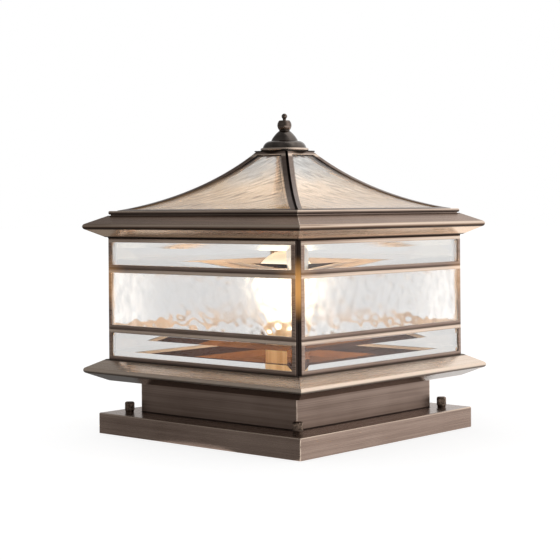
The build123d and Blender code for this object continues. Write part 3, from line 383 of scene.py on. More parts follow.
collar_edge = COLLAR_RADIUS - COLLAR_ROUND
nut_outline = np.concatenate(
    [
        [(0, NUT_BORE_TOP), (NUT_BORE, NUT_BORE_TOP), (NUT_BORE, NUT_BASE), (collar_edge, NUT_BASE)],
        rounded((collar_edge, NUT_BASE + COLLAR_ROUND), COLLAR_ROUND, -90, 0, 4),
        [(COLLAR_RADIUS, COLLAR_TOP), (NUT_RADIUS, GRIP_FOOT)],
        np.stack([np.full(6, NUT_RADIUS), np.linspace(GRIP_FOOT + 0.0004, GRIP_HEAD, 6)], -1),
        [(NUT_RADIUS - 0.0001, GRIP_HEAD + 0.0001)],
        rounded((NUT_RADIUS - CROWN_ROUND, NUT_TOP - CROWN_ROUND), CROWN_ROUND, 0, 90),
        [(CROWN_FLAT, NUT_TOP), (0, NUT_TOP)],
    ]
)
nut_angle = np.linspace(0, 2 * np.pi, TOOTH_COLUMNS * NUT_TEETH, endpoint=False)
tooth = 0.5 - 0.5 * np.cos(NUT_TEETH * nut_angle)
teeth_fade = [GRIP_FOOT, GRIP_FOOT + 0.0006, GRIP_HEAD, GRIP_HEAD + 0.0007]
on_grip = np.interp(nut_outline[:, 1], teeth_fade, [0, 1, 1, 0])
on_grip = on_grip * (nut_outline[:, 0] > NUT_RADIUS - 0.0006)
nut_radii = nut_outline[:, :1] - TOOTH_DEPTH * on_grip[:, None] * tooth

nut_brass, place = new_finish("knurled_brass")
patina = place.noise(420.0, 3.0)
grip = place.split()[2].smooth(NUT_BASE, GRIP_HEAD + 0.0001)
polish = patina.smooth(0.3, 0.7) * (0.3 + 0.7 * grip)
surface(
    place,
    Base_Color=polish.between((0.09, 0.064, 0.05, 1), (0.42, 0.31, 0.24, 1)),
    Metallic=1.0,
    Roughness=0.2 + 0.16 * patina,
)
for corner, centre in NUT_PLACES.items():
    nut = turned_mesh(f"knurled_nut_{corner}", nut_radii, nut_outline[:, 1], centre)
    nut.data.materials.append(nut_brass)
    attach(nut, f"thumb_nut_{corner}")
    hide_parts(f"thumb_nut_{corner}")
    dress(nut_brass, f"nut_washer_{corner}")

# Neck box: a square tube folded from brass sheet and welded at one corner. It stands on the tray
# and lifts the lantern's body clear of it.
NECK_TOP = 0.0546
# The neck is painted a little darker all over, with a band of painted shade under the eave and a line of
# it at its foot.
neck_brass = brushed_brass(
    "neck_brass",
    gloss=0.34,
    hollows=[(NECK_REACH, TRAY_TOP, 0.0016), (NECK_REACH, NECK_TOP, 0.0045)],
    shade=0.9,
    metal=0.82,
)
dress(neck_brass, "neck_box")

# Lower eave: four lengths of brass folded to a wedge with a rounded nose, mitred and soldered at
# the corners. The glazed body stands on it. Its underside is polished, and painted dark as the
# shade and dark reflections under it, with a painted highlight along its inner fold.
BODY_REACH, EAVE_REACH, EAVE_HEIGHT, BODY_FLOOR = 0.1330, 0.150, 0.0224, 0.077
EAVE_FAR_REACH, LOWER_MIDDLE = 0.1308, NECK_TOP + EAVE_HEIGHT / 2
NOSE_HIGHLIGHT, NOSE_SHADE, UNDERSIDE = 0.0016, -0.0021, LOWER_MIDDLE - 0.0024
UNDER_SHADE_DARK, UNDER_GLOSS, FOLD_HIGHLIGHT = (0.20, 0.135, 0.095, 1), 0.05, (0.85, 0.68, 0.56, 1)
lower_eave_brass, place = new_finish("lower_eave_brass")
# The whole eave is painted pale as sheen and light, with a painted highlight on the nose and the mitres,
# and lines of painted shade under the nose, under the glazed body and along the neck's head.
lower_eave = brushed_sockets(
    place,
    gloss=0.2,
    arrises=[(EAVE_REACH - 0.0005, LOWER_MIDDLE + NOSE_HIGHLIGHT, 0.0017)],
    hollows=[
        (BODY_REACH + 0.0004, BODY_FLOOR, 0.0032),
        (EAVE_REACH - 0.0008, LOWER_MIDDLE + NOSE_SHADE, 0.0026),
        (NECK_REACH, NECK_TOP, 0.004),
    ],
    corner_width=0.0014,
    worn=BODY_FLOOR + EAVE_HEIGHT,
    worn_shade=(0.90, 0.85, 0.79),
    grime=0.85,
)
# The underside is painted dark as shade and dark reflections, with a painted highlight along its inner
# fold.
height = place.split()[2]
fold_highlight = near_lines(square_reach(place)[0], height, [(EAVE_FAR_REACH, NECK_TOP, 0.0012)])
under = 1.0 - height.smooth(UNDERSIDE - 0.0004, UNDERSIDE + 0.0004)
lower_eave["Base_Color"] = under.between(lower_eave["Base_Color"], fold_highlight.between(UNDER_SHADE_DARK, FOLD_HIGHLIGHT))
lower_eave["Roughness"] = lower_eave["Roughness"] * (1.0 - under) + UNDER_GLOSS * under
surface(place, **lower_eave)
dress(lower_eave_brass, "lower_eave")

# Floor plate and reflector: the plate is dark bronzed sheet that lies on the eave's ledge, with a
# square well in it. The well's sides were left bare, and a square of copper lies in it.
WELL_REACH = 0.0660
plate_copper, place = new_finish("plate_copper")
x, y = place.split()[:2]
drawn = place.join(x * 12.0, y * 700.0, 0.0).noise(1.0, 2.0)
blotch = place.noise(45.0, 5.0).smooth(0.3, 0.7)
outside = square_reach(place)[0].smooth(WELL_REACH + 0.0003, WELL_REACH + 0.0008)
dark = blotch.between((0.037, 0.0135, 0.0085, 1), (0.076, 0.034, 0.022, 1))
bright = blotch.between((0.165, 0.066, 0.024, 1), (0.235, 0.104, 0.040, 1))
surface(
    place,
    Base_Color=outside.between(bright, dark),
    Roughness=0.5 + 0.2 * drawn,
    Specular_IOR_Level=0.0,
)
dress(plate_copper, "floor_plate", "reflector_plate")

# Lampholder metal: satin brass that has not been bronzed. Below the cup's rim it glows with a
# painted golden light that stands for the bulb's light on it. A threaded nipple and its nut clamp
# the spun cup to the floor plate.
CUP_TOP, NO_LIGHT = 0.1118, (0, 0, 0, 1)
satin_brass, place = new_finish("satin_brass")
x, y, height = place.split()
radius = (x * x + y * y) ** 0.5
rings = place.join(radius * 900.0, height * 900.0, 0.0).noise(1.0, 2.0)
streak = place.join(x * 160.0, y * 160.0, height * 12.0).noise(1.0, 2.0).smooth(0.3, 0.7)
under_bulb = 1.0 - height.smooth(CUP_TOP, CUP_TOP + 0.004)
# A painted golden glow below the cup's rim stands for the bulb's light on the holder.
painted_golden_glow = streak.between((0.13, 0.055, 0.008, 1), (0.29, 0.145, 0.042, 1))
surface(
    place,
    Base_Color=streak.between((0.90, 0.62, 0.29, 1), (1.0, 0.82, 0.48, 1)),
    Metallic=0.3,
    Roughness=0.24 + 0.16 * rings,
    Emission_Color=under_bulb.between(NO_LIGHT, painted_golden_glow),
    Emission_Strength=1.0,
)
dress(satin_brass, "holder_cup", "holder_shell", "holder_contact", "lamp_nipple", "nipple_nut")

# Porcelain body of the lampholder: slip cast, glazed white, screwed on to the nipple inside the
# cup. It carries the threaded shell and the centre contact.
porcelain = mottled(
    "glazed_porcelain",
    dark=(0.80, 0.78, 0.73),
    light=(0.90, 0.89, 0.85),
    grain=130.0,
    detail=3.0,
    rough=(0.08, 0.14),
)
dress(porcelain, "holder_body")

# Bulb base: a rolled aluminium screw cap, a black glass insulator and a tinned centre contact,
# cemented to the bulb's neck.
rolled_cap = mottled(
    "rolled_cap",
    dark=(0.60, 0.59, 0.57),
    light=(0.80, 0.79, 0.77),
    grain=300.0,
    detail=3.0,
    rough=(0.22, 0.22),
    Metallic=1.0,
)
dress(rolled_cap, "bulb_cap", "bulb_contact")
black_glass = mottled(
    "black_glass",
    dark=(0.012, 0.012, 0.014),
    light=(0.04, 0.038, 0.04),
    grain=500.0,
    detail=2.0,
    rough=(0.08, 0.2),
)
dress(black_glass, "bulb_insulator")

# Bulb: a blown globe of frosted glass on a short neck, lit by four filaments on a glass stem.
# The whole globe glows a warm white.
GLOBE_RADIUS, GLOBE_LEVEL, BULB_FOOT, NECK_END = 0.030, 0.1581, 0.1119, 0.1189
BULB_NECK, BULB_WALL, GLOBE_STEPS, GLOBE_COLUMNS = 0.0146, 0.0009, 60, 96
fall = GLOBE_LEVEL - NECK_END


def globe_outline(neck, globe):
    """Neck, then the globe from where a line from the neck's end touches it, up to the axis."""
    lean = math.asin(globe / math.hypot(neck, fall)) - math.atan2(neck, fall)
    angle = np.linspace(-lean, np.pi / 2, GLOBE_STEPS)
    arc = np.stack([globe * np.cos(angle), GLOBE_LEVEL + globe * np.sin(angle)], -1)
    return np.concatenate([[(neck, BULB_FOOT), (neck, NECK_END)], arc])


bulb_outline = np.concatenate(
    [
        globe_outline(BULB_NECK - BULB_WALL, GLOBE_RADIUS - BULB_WALL)[::-1],
        globe_outline(BULB_NECK, GLOBE_RADIUS),
    ]
)
bulb_radii = np.repeat(np.maximum(bulb_outline[:, :1], 0), GLOBE_COLUMNS, 1)
globe = turned_mesh("frosted_globe", bulb_radii, bulb_outline[:, 1], (0.0, 0.0))


def lamp_lit_surface(place, tint, **sockets):
    """Ends a material in one Principled shader, but clear to rays from lamps, which reach inside."""
    to_lamp = place.node("LightPath", output="Is Shadow Ray")
    clear = place.node("BsdfTransparent", None, {"Color": tint})
    both = place.node("MixShader", None, {0: to_lamp, 1: principled(place, sockets), 2: clear})
    place.node("OutputMaterial", None, {"Surface": both})


frosted, place = new_finish("frosted_glass")
frost = place.noise(700.0, 2.0)
crown = place.split()[2].smooth(GLOBE_LEVEL + 0.3 * GLOBE_RADIUS, GLOBE_LEVEL + 0.8 * GLOBE_RADIUS)
lamp_lit_surface(
    place,
    (1, 1, 1, 1),
    Base_Color=(0.92, 0.88, 0.80, 1),
    Roughness=0.25 + 0.2 * frost,
    Emission_Color=crown.between((2.3, 2.0, 1.5, 1), (0.6, 0.5, 0.32, 1)),
    Emission_Strength=1.0,
)
globe.data.materials.append(frosted)
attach(globe, "bulb")
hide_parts("bulb_envelope")

stem_glass, place = new_finish("stem_glass")
drawn = place.noise(300.0, 2.0)
STEM_TINT = (0.95, 0.95, 0.94, 1)
lamp_lit_surface(
    place, STEM_TINT, Base_Color=STEM_TINT, Roughness=0.05 * drawn, Transmission_Weight=1.0
)
dress(stem_glass, "filament_stem")
phosphor = mottled(
    "phosphor",
    dark=(0.85, 0.62, 0.18),
    light=(0.95, 0.78, 0.36),
    grain=1500.0,
    detail=2.0,
    rough=(0.5, 0.2),
    Emission_Color=(1.0, 0.8, 0.5, 1),
    Emission_Strength=3.0,
)
dress(phosphor, "led_filaments")

bulb_light = bpy.data.lights.new("bulb_light", "POINT")
bulb_light.energy = 1.4
bulb_light.color = (1.0, 0.83, 0.62)
bulb_light.shadow_soft_size = 0.028
bulb_lamp = bpy.data.objects.new("bulb_lamp", bulb_light)
bulb_lamp.location = (0, 0, GLOBE_LEVEL)
bpy.context.scene.collection.objects.link(bulb_lamp)
bulb_lamp.parent = globe
bulb_lamp.visible_glossy = False
bulb_lamp.visible_transmission = False

# Corner posts: brass angles behind the cames, which stand on the lower eave and tie the four
# glazed sides together. They show in the notch at each corner, and at the bulb's height their
# outer faces carry a painted amber glow for the bulb's light that leaks out there.
POST_REACH, POST_INNER = 0.1290, 0.1278
AMBER_GLOW = (0.62, 0.30, 0.085, 1)


def painted_glow_band(place):
    """Where a glow is painted: 1 at the bulb's height, and 0 a little over the globe's radius
    above and below it.
    """
    rise = abs(place.split()[2] - GLOBE_LEVEL)
    return 1.0 - rise.smooth(0.1 * GLOBE_RADIUS, 1.1 * GLOBE_RADIUS)


# At the bulb's height the outer faces glow amber: a painted glow for the bulb's light leaking out.
post_brass, place = new_finish("post_brass")
soot = place.noise(90.0, 4.0)
inside = 1.0 - square_reach(place)[0].smooth(POST_INNER, POST_REACH)
dark = soot.between((0.030, 0.020, 0.013, 1), (0.085, 0.058, 0.038, 1))
surface(
    place,
    Base_Color=inside.between(dark, INNER_TAN),
    Metallic=1.0 - 0.7 * inside,
    Roughness=0.35 + 0.2 * soot,
    Emission_Color=(painted_glow_band(place) * (1.0 - inside)).between(NO_LIGHT, AMBER_GLOW),
    Emission_Strength=1.0,
)
dress(post_brass, "corner_posts")

# Came frames: brass channel folded round each pane's edge, mitred and soldered, three frames one
# above the other on each side. Pale putty fills the channel, and inside the brass was left bare.
# The rails' top edges carry a painted highlight, their feet and the corner notches painted shade,
# and at the bulb's height a painted amber glow stands for light leaking round the corners.
MIDDLE_LEVEL, UPPER_LEVEL, BODY_TOP, RAIL = 0.1091, 0.1713, 0.2028, 0.0020
PUTTY_BACK, PUTTY_FRONT, PUTTY_EDGE = POST_REACH + 0.0007, BODY_REACH - 0.0012, 0.0001
PUTTY_WHITE = (0.88, 0.86, 0.82, 1)
SIDES = {"front": 0, "right": 90, "back": 180, "left": 270}
came_brass, place = new_finish("came_brass")
# The rails' top edges are rubbed bright, partly as a painted highlight, and painted shade lies along
# their feet.
came = brushed_sockets(
    place,
    gloss=0.22,
    arrises=[(BODY_REACH, level - RAIL, 0.0030) for level in (MIDDLE_LEVEL, UPPER_LEVEL, BODY_TOP)],
    hollows=[
        (BODY_REACH, level + 0.4 * RAIL, 0.0018) for level in (BODY_FLOOR, MIDDLE_LEVEL, UPPER_LEVEL)
    ],
    shade=1.05,
    grime=0.45,
    metal=0.84,
    bare=BODY_REACH - 0.0015,
)
reach, nearer = square_reach(place)
# The notch at each corner is painted dark as shade.
notch = nearer.smooth(POST_REACH - 0.0003, POST_REACH - 0.0001)
came["Base_Color"] = notch.between(came["Base_Color"], SHADE_DARK)
putty = reach.smooth(PUTTY_BACK - PUTTY_EDGE, PUTTY_BACK + PUTTY_EDGE)
putty = putty * (1.0 - reach.smooth(PUTTY_FRONT - PUTTY_EDGE, PUTTY_FRONT + PUTTY_EDGE))
came["Base_Color"] = (putty * (1.0 - notch)).between(came["Base_Color"], PUTTY_WHITE)
came["Metallic"] = came["Metallic"] * (1.0 - putty)
# At the bulb's height, the notch and the ends near it glow amber: a painted glow for light leaking round
# the corners.
by_corner = nearer.smooth(POST_REACH - 0.03, POST_REACH)
painted_glow = painted_glow_band(place) * notch.larger(0.3 * by_corner)
surface(place, Emission_Color=painted_glow.between(NO_LIGHT, AMBER_GLOW), Emission_Strength=1.0, **came)
dress(came_brass, *[f"{side}_cames" for side in SIDES])

# Clear panes: polished plate glass with a wide bevel all round, one low and one high on each
# side, held by the cames. The upper panes' bevels are ground a little duller.
BEVEL_END, BEVEL_HEAD, BEVEL_EDGE = 0.1184, 0.1930, 0.0006
GLASS = {"IOR": 1.46, "Transmission_Weight": 1.0}
clear_glass, place = new_finish("clear_glass")
smear = place.noise(30.0, 4.0)
height = place.split()[2]
end_bevel = square_reach(place)[1].smooth(BEVEL_END, BEVEL_END + BEVEL_EDGE)
end_bevel = end_bevel * height.smooth(UPPER_LEVEL - 0.001, UPPER_LEVEL)
head_bevel = height.smooth(BEVEL_HEAD, BEVEL_HEAD + BEVEL_EDGE)
lamp_lit_surface(
    place,
    (0.93, 0.94, 0.94, 1),
    Base_Color=smear.between((0.832, 0.828, 0.822, 1), (0.852, 0.848, 0.842, 1)),
    Roughness=0.02 * smear.smooth(0.35, 0.8) + (0.3 * end_bevel).larger(0.13 * head_bevel),
    **GLASS,
)
dress(clear_glass, "bottom_panes", "top_panes")

# Ripple panes: rolled glass with a smooth outer face and a rippled inner one, which scatters the
# view through it. One on each side, between the clear panes. Their tint carries painted light and
# shade from their streaks, and near their ends a painted glow stands for the bulb's reflection.
PANE_HALF, PANE_FOOT, PANE_HEAD, PANE_COLUMNS, PANE_ROWS = 0.1280, 0.1101, 0.1703, 301, 72
PANE_FACE, PANE_BACK = 0.13215, 0.12985
SHORT_RIPPLE, LONG_RIPPLE, RIPPLE_SWING, SWINGS = 0.0095, 0.018, 0.00013, 2.8
RIPPLE_SEED, STREAK_SEED, STREAK_SHARE, STREAK_SPREAD = 11, 21, 0.25, 0.03


def rolled(across, up, shortest, longest, seed, count=48):
    """Height of a rolled glass face, about 0 and seldom past 2.8 either way.

    It is the sum of plane waves with random headings, phases and lengths between two limits,
    scaled so that its mean square is 1.
    """
    chance = np.random.default_rng(seed)
    heading = chance.uniform(0, 2 * np.pi, count)
    per_metre = 2 * np.pi / chance.uniform(shortest, longest, count)
    phase = chance.uniform(0, 2 * np.pi, count)
    swing = across[..., None] * per_metre * np.cos(heading) + up[..., None] * per_metre * np.sin(heading)
    return np.clip(np.cos(swing + phase).sum(-1) * math.sqrt(2 / count), -SWINGS, SWINGS)


def grid_faces(rows, columns):
    """The quads of a grid of points, and its point numbers."""
    index = np.arange(rows * columns).reshape(rows, columns)
    corners = [index[:-1, :-1], index[:-1, 1:], index[1:, 1:], index[1:, :-1]]
    return np.stack(corners, -1).reshape(-1, 4), index


def glass_slab(name, face, back, shade):
    """A closed slab between two grids of points, with its four edges joined by strips.

    Each point of both grids keeps its painted shade, a number from 0 to 1, in a point attribute.
    """
    points = np.concatenate([face.reshape(-1, 3), back.reshape(-1, 3)])
    quads, index = grid_faces(*face.shape[:2])
    rim = np.concatenate([index[0, :-1], index[:-1, -1], index[-1, :0:-1], index[:0:-1, 0]])
    following = np.roll(rim, -1)
    far = index.size
    strips = np.stack([rim, rim + far, following + far, following], -1)
    slab = mesh_of(name, points, quads, quads[:, ::-1] + far, strips)
    painted_relief_shade = slab.data.attributes.new("painted_relief_shade", "FLOAT", "POINT")
    painted_relief_shade.data.foreach_set("value", np.tile(shade.ravel(), 2).astype(np.float32))
    return slab


def lit_slopes(height, spread):
    """0.5 on level glass, more where its height grows with the rows and less where it shrinks.

    It is painted light and shade, as if light fell on each slope from one side.
    """
    slope = np.gradient(height, axis=0)
    return np.clip(0.5 + spread * slope / slope.std(), 0, 1)


def turn_about_axis(points, degrees):
    """Points turned about the lantern's axis: x cos - y sin, x sin + y cos, and z kept."""
    cosine, sine = math.cos(math.radians(degrees)), math.sin(math.radians(degrees))
    return points @ np.array([[cosine, -sine, 0], [sine, cosine, 0], [0, 0, 1]]).T


ripple_glass, place = new_finish("ripple_glass")
seed_specks = place.noise(60.0, 4.0)
# The base colour is painted light and shade from the slopes of streaks over the glass.
painted_relief_shade = place.node("Attribute", {"attribute_name": "painted_relief_shade"}, output="Fac")
x, y, height = place.split()
# Near each pane's ends, blotches glow: a painted reflection of the bulb's light.
ends = square_reach(place)[1].smooth(0.045, 0.1)
drops = place.join(x * 120.0, y * 120.0, height * 55.0).noise(1.0, 1.0).smooth(0.36, 0.6)
upper_haze = height.smooth(PANE_FOOT + 0.01, PANE_FOOT + 0.028)
lamp_lit_surface(
    place,
    (0.92, 0.93, 0.93, 1),
    Base_Color=painted_relief_shade.between((0.79, 0.79, 0.79, 1), (0.925, 0.925, 0.927, 1)),
    Roughness=0.09 + 0.05 * seed_specks + 0.13 * upper_haze,
    Emission_Color=(ends * (0.2 + 0.8 * drops)).between(NO_LIGHT, (0.095, 0.085, 0.076, 1)),
    Emission_Strength=1.0,
    **GLASS,
)
pane_x, pane_z = np.meshgrid(
    np.linspace(-PANE_HALF, PANE_HALF, PANE_COLUMNS), np.linspace(PANE_FOOT, PANE_HEAD, PANE_ROWS)
)
for number, (side, degrees) in enumerate(SIDES.items()):
    ripples = rolled(pane_x, pane_z, SHORT_RIPPLE, LONG_RIPPLE, RIPPLE_SEED + number)
    streaks = rolled(STREAK_SHARE * pane_z, pane_x, SHORT_RIPPLE, LONG_RIPPLE, STREAK_SEED + number)
    face = np.stack([pane_x, np.full_like(pane_x, -PANE_FACE), pane_z], -1)
    back = np.stack([pane_x, -PANE_BACK - RIPPLE_SWING * (SWINGS + ripples), pane_z], -1)
    face, back = turn_about_axis(face, degrees), turn_about_axis(back, degrees)
    ripple = glass_slab(f"{side}_rolled_pane", face, back, lit_slopes(streaks.T, STREAK_SPREAD).T)
    ripple.data.materials.append(ripple_glass)
    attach(ripple, "lantern")
    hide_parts(f"{side}_ripple_pane")


# Top ring and bridge strap: bronzed brass strips soldered on to the cames, and a bent strap
# screwed across them, into which the finial's spindle is screwed. The ring is painted near black
# outside, as the shade in the gap under the eave.
def shade_black_surface(place, inside):
    """Ends a material in near-black brass that is painted shade, with bare tan brass where the inside
    mask is 1.
    """
    soot = place.noise(70.0, 4.0)
    surface(
        place,
        Base_Color=(inside * soot.smooth(0.1, 0.5)).between(SHADE_DARK, INNER_TAN),
        Metallic=1.0 - 0.7 * inside,
        Roughness=0.4 + 0.2 * soot,
    )


ring_brass, place = new_finish("ring_brass")
shade_black_surface(place, 1.0 - square_reach(place)[0].smooth(POST_REACH - 0.0005, POST_REACH + 0.0015))
dress(ring_brass, "body_top_ring")
dress(satin_brass, "bridge_strap", "bridge_screws")

# Upper eave: the same folded and mitred brass section as the lower eave. It belongs to the roof
# and rests on the body's top ring. Its underside is painted pale as the light and sheen on it, its
# nose carries a painted highlight, and painted shade lines run under the nose and along its joins.
RING_TOP, ROOF_FLOOR, EAVE_LEDGE = 0.2040, 0.2264, 0.1205
UPPER_MIDDLE = RING_TOP + EAVE_HEIGHT / 2
upper_eave_brass = brushed_brass(
    "upper_eave_brass",
    gloss=0.2,
    arrises=[(EAVE_REACH - 0.0005, UPPER_MIDDLE + NOSE_HIGHLIGHT, 0.0024)],
    hollows=[
        (EAVE_FAR_REACH, ROOF_FLOOR, 0.0022),
        (EAVE_REACH - 0.0008, UPPER_MIDDLE + NOSE_SHADE, 0.0026),
        (BODY_REACH, RING_TOP, 0.0036),
    ],
    corner_width=0.0009,
    shade=(0.88, 0.75, 0.61),
    worn=UPPER_MIDDLE - 0.002,
    worn_shade=(1.0, 0.85, 0.69),
    bare=EAVE_LEDGE,
)
dress(upper_eave_brass, "upper_eave")

# Roof rim: a brass bead round the foot of the roof, soldered to the upper eave, which hides the
# lower ends of the roof's cames.
RIM_REACH, RIM_TOP = 0.1306, 0.2312
# A painted highlight runs along the bead's top, and painted shade over its lower half.
rim_brass = brushed_brass(
    "rim_brass",
    gloss=0.22,
    arrises=[(RIM_REACH - 0.0006, RIM_TOP - 0.0004, 0.0018)],
    hollows=[(RIM_REACH, ROOF_FLOOR + 0.0014, 0.0026)],
    shade=1.12,
    grime=0.75,
    metal=0.94,
)
dress(rim_brass, "roof_rim")

# Roof cames and hip strips: bent brass channels round each roof pane, with a folded strip under
# each hip that closes the groove between two of them. The groove is painted near black as shade.
CAME_HEAD_REACH, CAME_HEAD = 0.0265, 0.2885
# The head's edge is rubbed bright, partly as a painted highlight.
roof_came_brass = brushed_brass(
    "roof_came_brass",
    gloss=0.24,
    arrises=[(CAME_HEAD_REACH, CAME_HEAD, 0.0036)],
    corner_width=0.0001,
    shade=0.66,
)
dress(roof_came_brass, *[f"{side}_roof_came" for side in SIDES])
# The strip is painted near black along the hip's groove, as shade.
hip_brass, place = new_finish("hip_brass")
reach, nearer = square_reach(place)
shade_black_surface(place, (reach - nearer).smooth(0.0024, 0.0044))
dress(hip_brass, "hip_strips")

# Roof panes: rolled glass with long slanting ripples, bent in a kiln to the roof's hollow curve
# and held in the roof's cames. Their tint carries painted light and shade from the ripples and a
# painted side light, and towards the foot they are painted warm and glowing as the bulb's light.
ROOF_FOOT_POINT, ROOF_HEAD_POINT, ROOF_CURVE = (0.1249, 0.2316), (0.0224, 0.2917), 0.196
PANE_TRIM, PANE_TOP_DEPTH, PANE_BOTTOM_DEPTH, HIP_INSET = 0.001, 0.00085, 0.00315, 0.003394
SHORT_STROKE, LONG_STROKE, STROKE_STRETCH, STROKE_SLANT = 0.004, 0.009, 0.2, 0.68
STROKE_SWING, STROKE_SPREAD, DASH_CUT, DASH_SHARE = 0.00002, 0.38, 0.8, 0.85
SHORT_PATCH, LONG_PATCH, SLOPE_TONE, SIDE_LIGHT_FADE = 0.016, 0.05, 0.46, 0.3
STROKE_SEED, DASH_SEED, PATCH_SEED, SLOPE_ROWS, SLOPE_COLUMNS = 31, 41, 51, 160, 241
chord = np.subtract(ROOF_HEAD_POINT, ROOF_FOOT_POINT)
span = float(np.hypot(*chord))
middle = np.add(ROOF_FOOT_POINT, ROOF_HEAD_POINT) / 2
away = math.sqrt(ROOF_CURVE**2 - span**2 / 4) / span
curve_centre = middle + away * np.array([chord[1], -chord[0]])
head_angle = math.atan2(*np.subtract(ROOF_HEAD_POINT, curve_centre)[::-1])
foot_angle = math.atan2(*np.subtract(ROOF_FOOT_POINT, curve_centre)[::-1])
trim = PANE_TRIM / ROOF_CURVE
slope_angle, slope_share = np.meshgrid(
    np.linspace(foot_angle - trim, head_angle + trim, SLOPE_ROWS),
    np.linspace(-1, 1, SLOPE_COLUMNS),
    indexing="ij",
)


def on_slope(depth):
    """Points of the front slope at a depth under its curve: an arc in reach and height, and in x
    the share of the half width that the hips leave at that reach."""
    radius = ROOF_CURVE + depth
    reach = curve_centre[0] + radius * np.cos(slope_angle)
    height = curve_centre[1] + radius * np.sin(slope_angle)
    return np.stack([slope_share * (reach - HIP_INSET), -reach, height], -1)


roof_glass, place = new_finish("roof_glass")
painted_relief_shade = place.node("Attribute", {"attribute_name": "painted_relief_shade"}, output="Fac")
cloud = place.noise(26.0, 4.0)
up_roof = place.split()[2].smooth(ROOF_FOOT_POINT[1], ROOF_HEAD_POINT[1])
# Towards the foot the glass is painted warmer and glows: painted light from the bulb.
warm_light_share = (1.0 - up_roof + 1.2 * (cloud - 0.5)).smooth(0.0, 1.0)
shaded_glass = warm_light_share.between((0.62, 0.605, 0.585, 1), (0.60, 0.54, 0.47, 1))
bright_glass = warm_light_share.between((0.93, 0.915, 0.895, 1), (0.94, 0.88, 0.805, 1))
lamp_lit_surface(
    place,
    (0.9, 0.9, 0.89, 1),
    Base_Color=painted_relief_shade.between(shaded_glass, bright_glass),
    Roughness=0.06 + 0.05 * cloud,
    Emission_Color=(warm_light_share * (0.5 + painted_relief_shade)).between(NO_LIGHT, (0.10, 0.066, 0.037, 1)),
    Emission_Strength=1.0,
    **GLASS,
)
flat_x = on_slope(PANE_TOP_DEPTH)[..., 0]
up_slope = -ROOF_CURVE * (slope_angle - foot_angle)
for number, (side, degrees) in enumerate(SIDES.items()):
    handed = 1 - 2 * (number % 2)
    slant = STROKE_SLANT * handed
    along = STROKE_STRETCH * (flat_x * math.cos(slant) + up_slope * math.sin(slant))
    over = up_slope * math.cos(slant) - flat_x * math.sin(slant)
    strokes = rolled(along, over, SHORT_STROKE, LONG_STROKE, STROKE_SEED + number)
    dashes = rolled(along, over, SHORT_STROKE, LONG_STROKE, DASH_SEED + number)
    dashes = np.clip(dashes - DASH_CUT, 0, 1)
    face = on_slope(PANE_TOP_DEPTH + STROKE_SWING * (SWINGS - strokes))
    back = on_slope(PANE_BOTTOM_DEPTH)
    face, back = turn_about_axis(face, degrees), turn_about_axis(back, degrees)
    # Each pane's painted shade: lit and shaded sides of its strokes, dark dashes, and a painted light
    # that grows towards one side.
    patches = rolled(flat_x, up_slope, SHORT_PATCH, LONG_PATCH, PATCH_SEED + number)
    patches = np.clip(0.6 + 0.55 * patches, 0.1, 1)
    marks = patches * (lit_slopes(strokes, STROKE_SPREAD) - 0.5 - DASH_SHARE * dashes)
    shade = np.clip(SLOPE_TONE + marks + SIDE_LIGHT_FADE * slope_share * handed, 0, 1)
    bent = glass_slab(f"{side}_bent_pane", face, back, shade)
    bent.data.materials.append(roof_glass)
    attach(bent, "roof")
    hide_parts(f"{side}_roof_pane")

# Cap plate, spun dome and ball finial: dark bronzed brass. The dome is spun over a former, the
# ball and bead are turned, and its spindle clamps the roof down on the bridge strap.
DOME_TOP = 0.3136
# Painted highlight rings on the flange and the bowl's edge, painted shade rings in the joins, and a ball
# painted paler for its sheen.
HIGHLIGHT_RINGS = [(0.0252, 0.2945, 0.0018), (0.0150, 0.3032, 0.0008)]
SHADE_RINGS = [(0.0228, 0.2959, 0.0012), (0.0136, 0.3032, 0.0012), (0.0057, DOME_TOP, 0.0012)]
turned_bronze, place = new_finish("turned_bronze")
x, y, height = place.split()
radius = (x * x + y * y) ** 0.5
rings = place.join(radius * 1500.0, height * 1500.0, 0.0).noise(1.0, 2.0)
patina = place.noise(150.0, 4.0)
tone = (0.55 * rings + 0.45 * patina).smooth(0.3, 0.7)
dome_tint = tone.between((0.08, 0.068, 0.06, 1), (0.22, 0.188, 0.165, 1))
ball_sheen_tint = tone.between((0.10, 0.075, 0.062, 1), (0.28, 0.215, 0.18, 1))
colour = height.smooth(DOME_TOP, DOME_TOP + 0.002).between(dome_tint, ball_sheen_tint)
colour = (0.8 * near_lines(radius, height, HIGHLIGHT_RINGS)).between(colour, RUBBED_HIGHLIGHT_COPPER)
colour = (0.75 * near_lines(radius, height, SHADE_RINGS)).between(colour, SHADE_DARK)
surface(place, Base_Color=colour, Metallic=1.0, Roughness=0.1 + 0.1 * rings)
dress(turned_bronze, "finial_dome", "finial_washer", "finial")
cap_black = mottled(
    "cap_black",
    dark=(0.014, 0.011, 0.009),
    light=(0.06, 0.048, 0.04),
    grain=120.0,
    detail=4.0,
    rough=(0.35, 0.2),
    Metallic=1.0,
)
dress(cap_black, "cap_plate")

# Studio floor: a wide pale sheet just under the lantern, which glows a little and keeps a soft
# shadow.
FLOOR_HALF, FLOOR_LEVEL = 12.0, -0.0002
floor_corners = FLOOR_HALF * np.array([(-1, -1, 0), (1, -1, 0), (1, 1, 0), (-1, 1, 0)])
floor = mesh_of("floor", floor_corners + (0, 0, FLOOR_LEVEL), np.array([[0, 1, 2, 3]]))
floor_white, place = new_finish("floor_white")
pale = place.node("BsdfDiffuse", None, {"Color": (0.4, 0.4, 0.4, 1)})
lit = place.node("Emission", None, {"Color": (1, 1, 1, 1), "Strength": 0.76})
both = place.node("AddShader", None, {0: pale, 1: lit})
place.node("OutputMaterial", None, {"Surface": both})
floor.data.materials.append(floor_white)

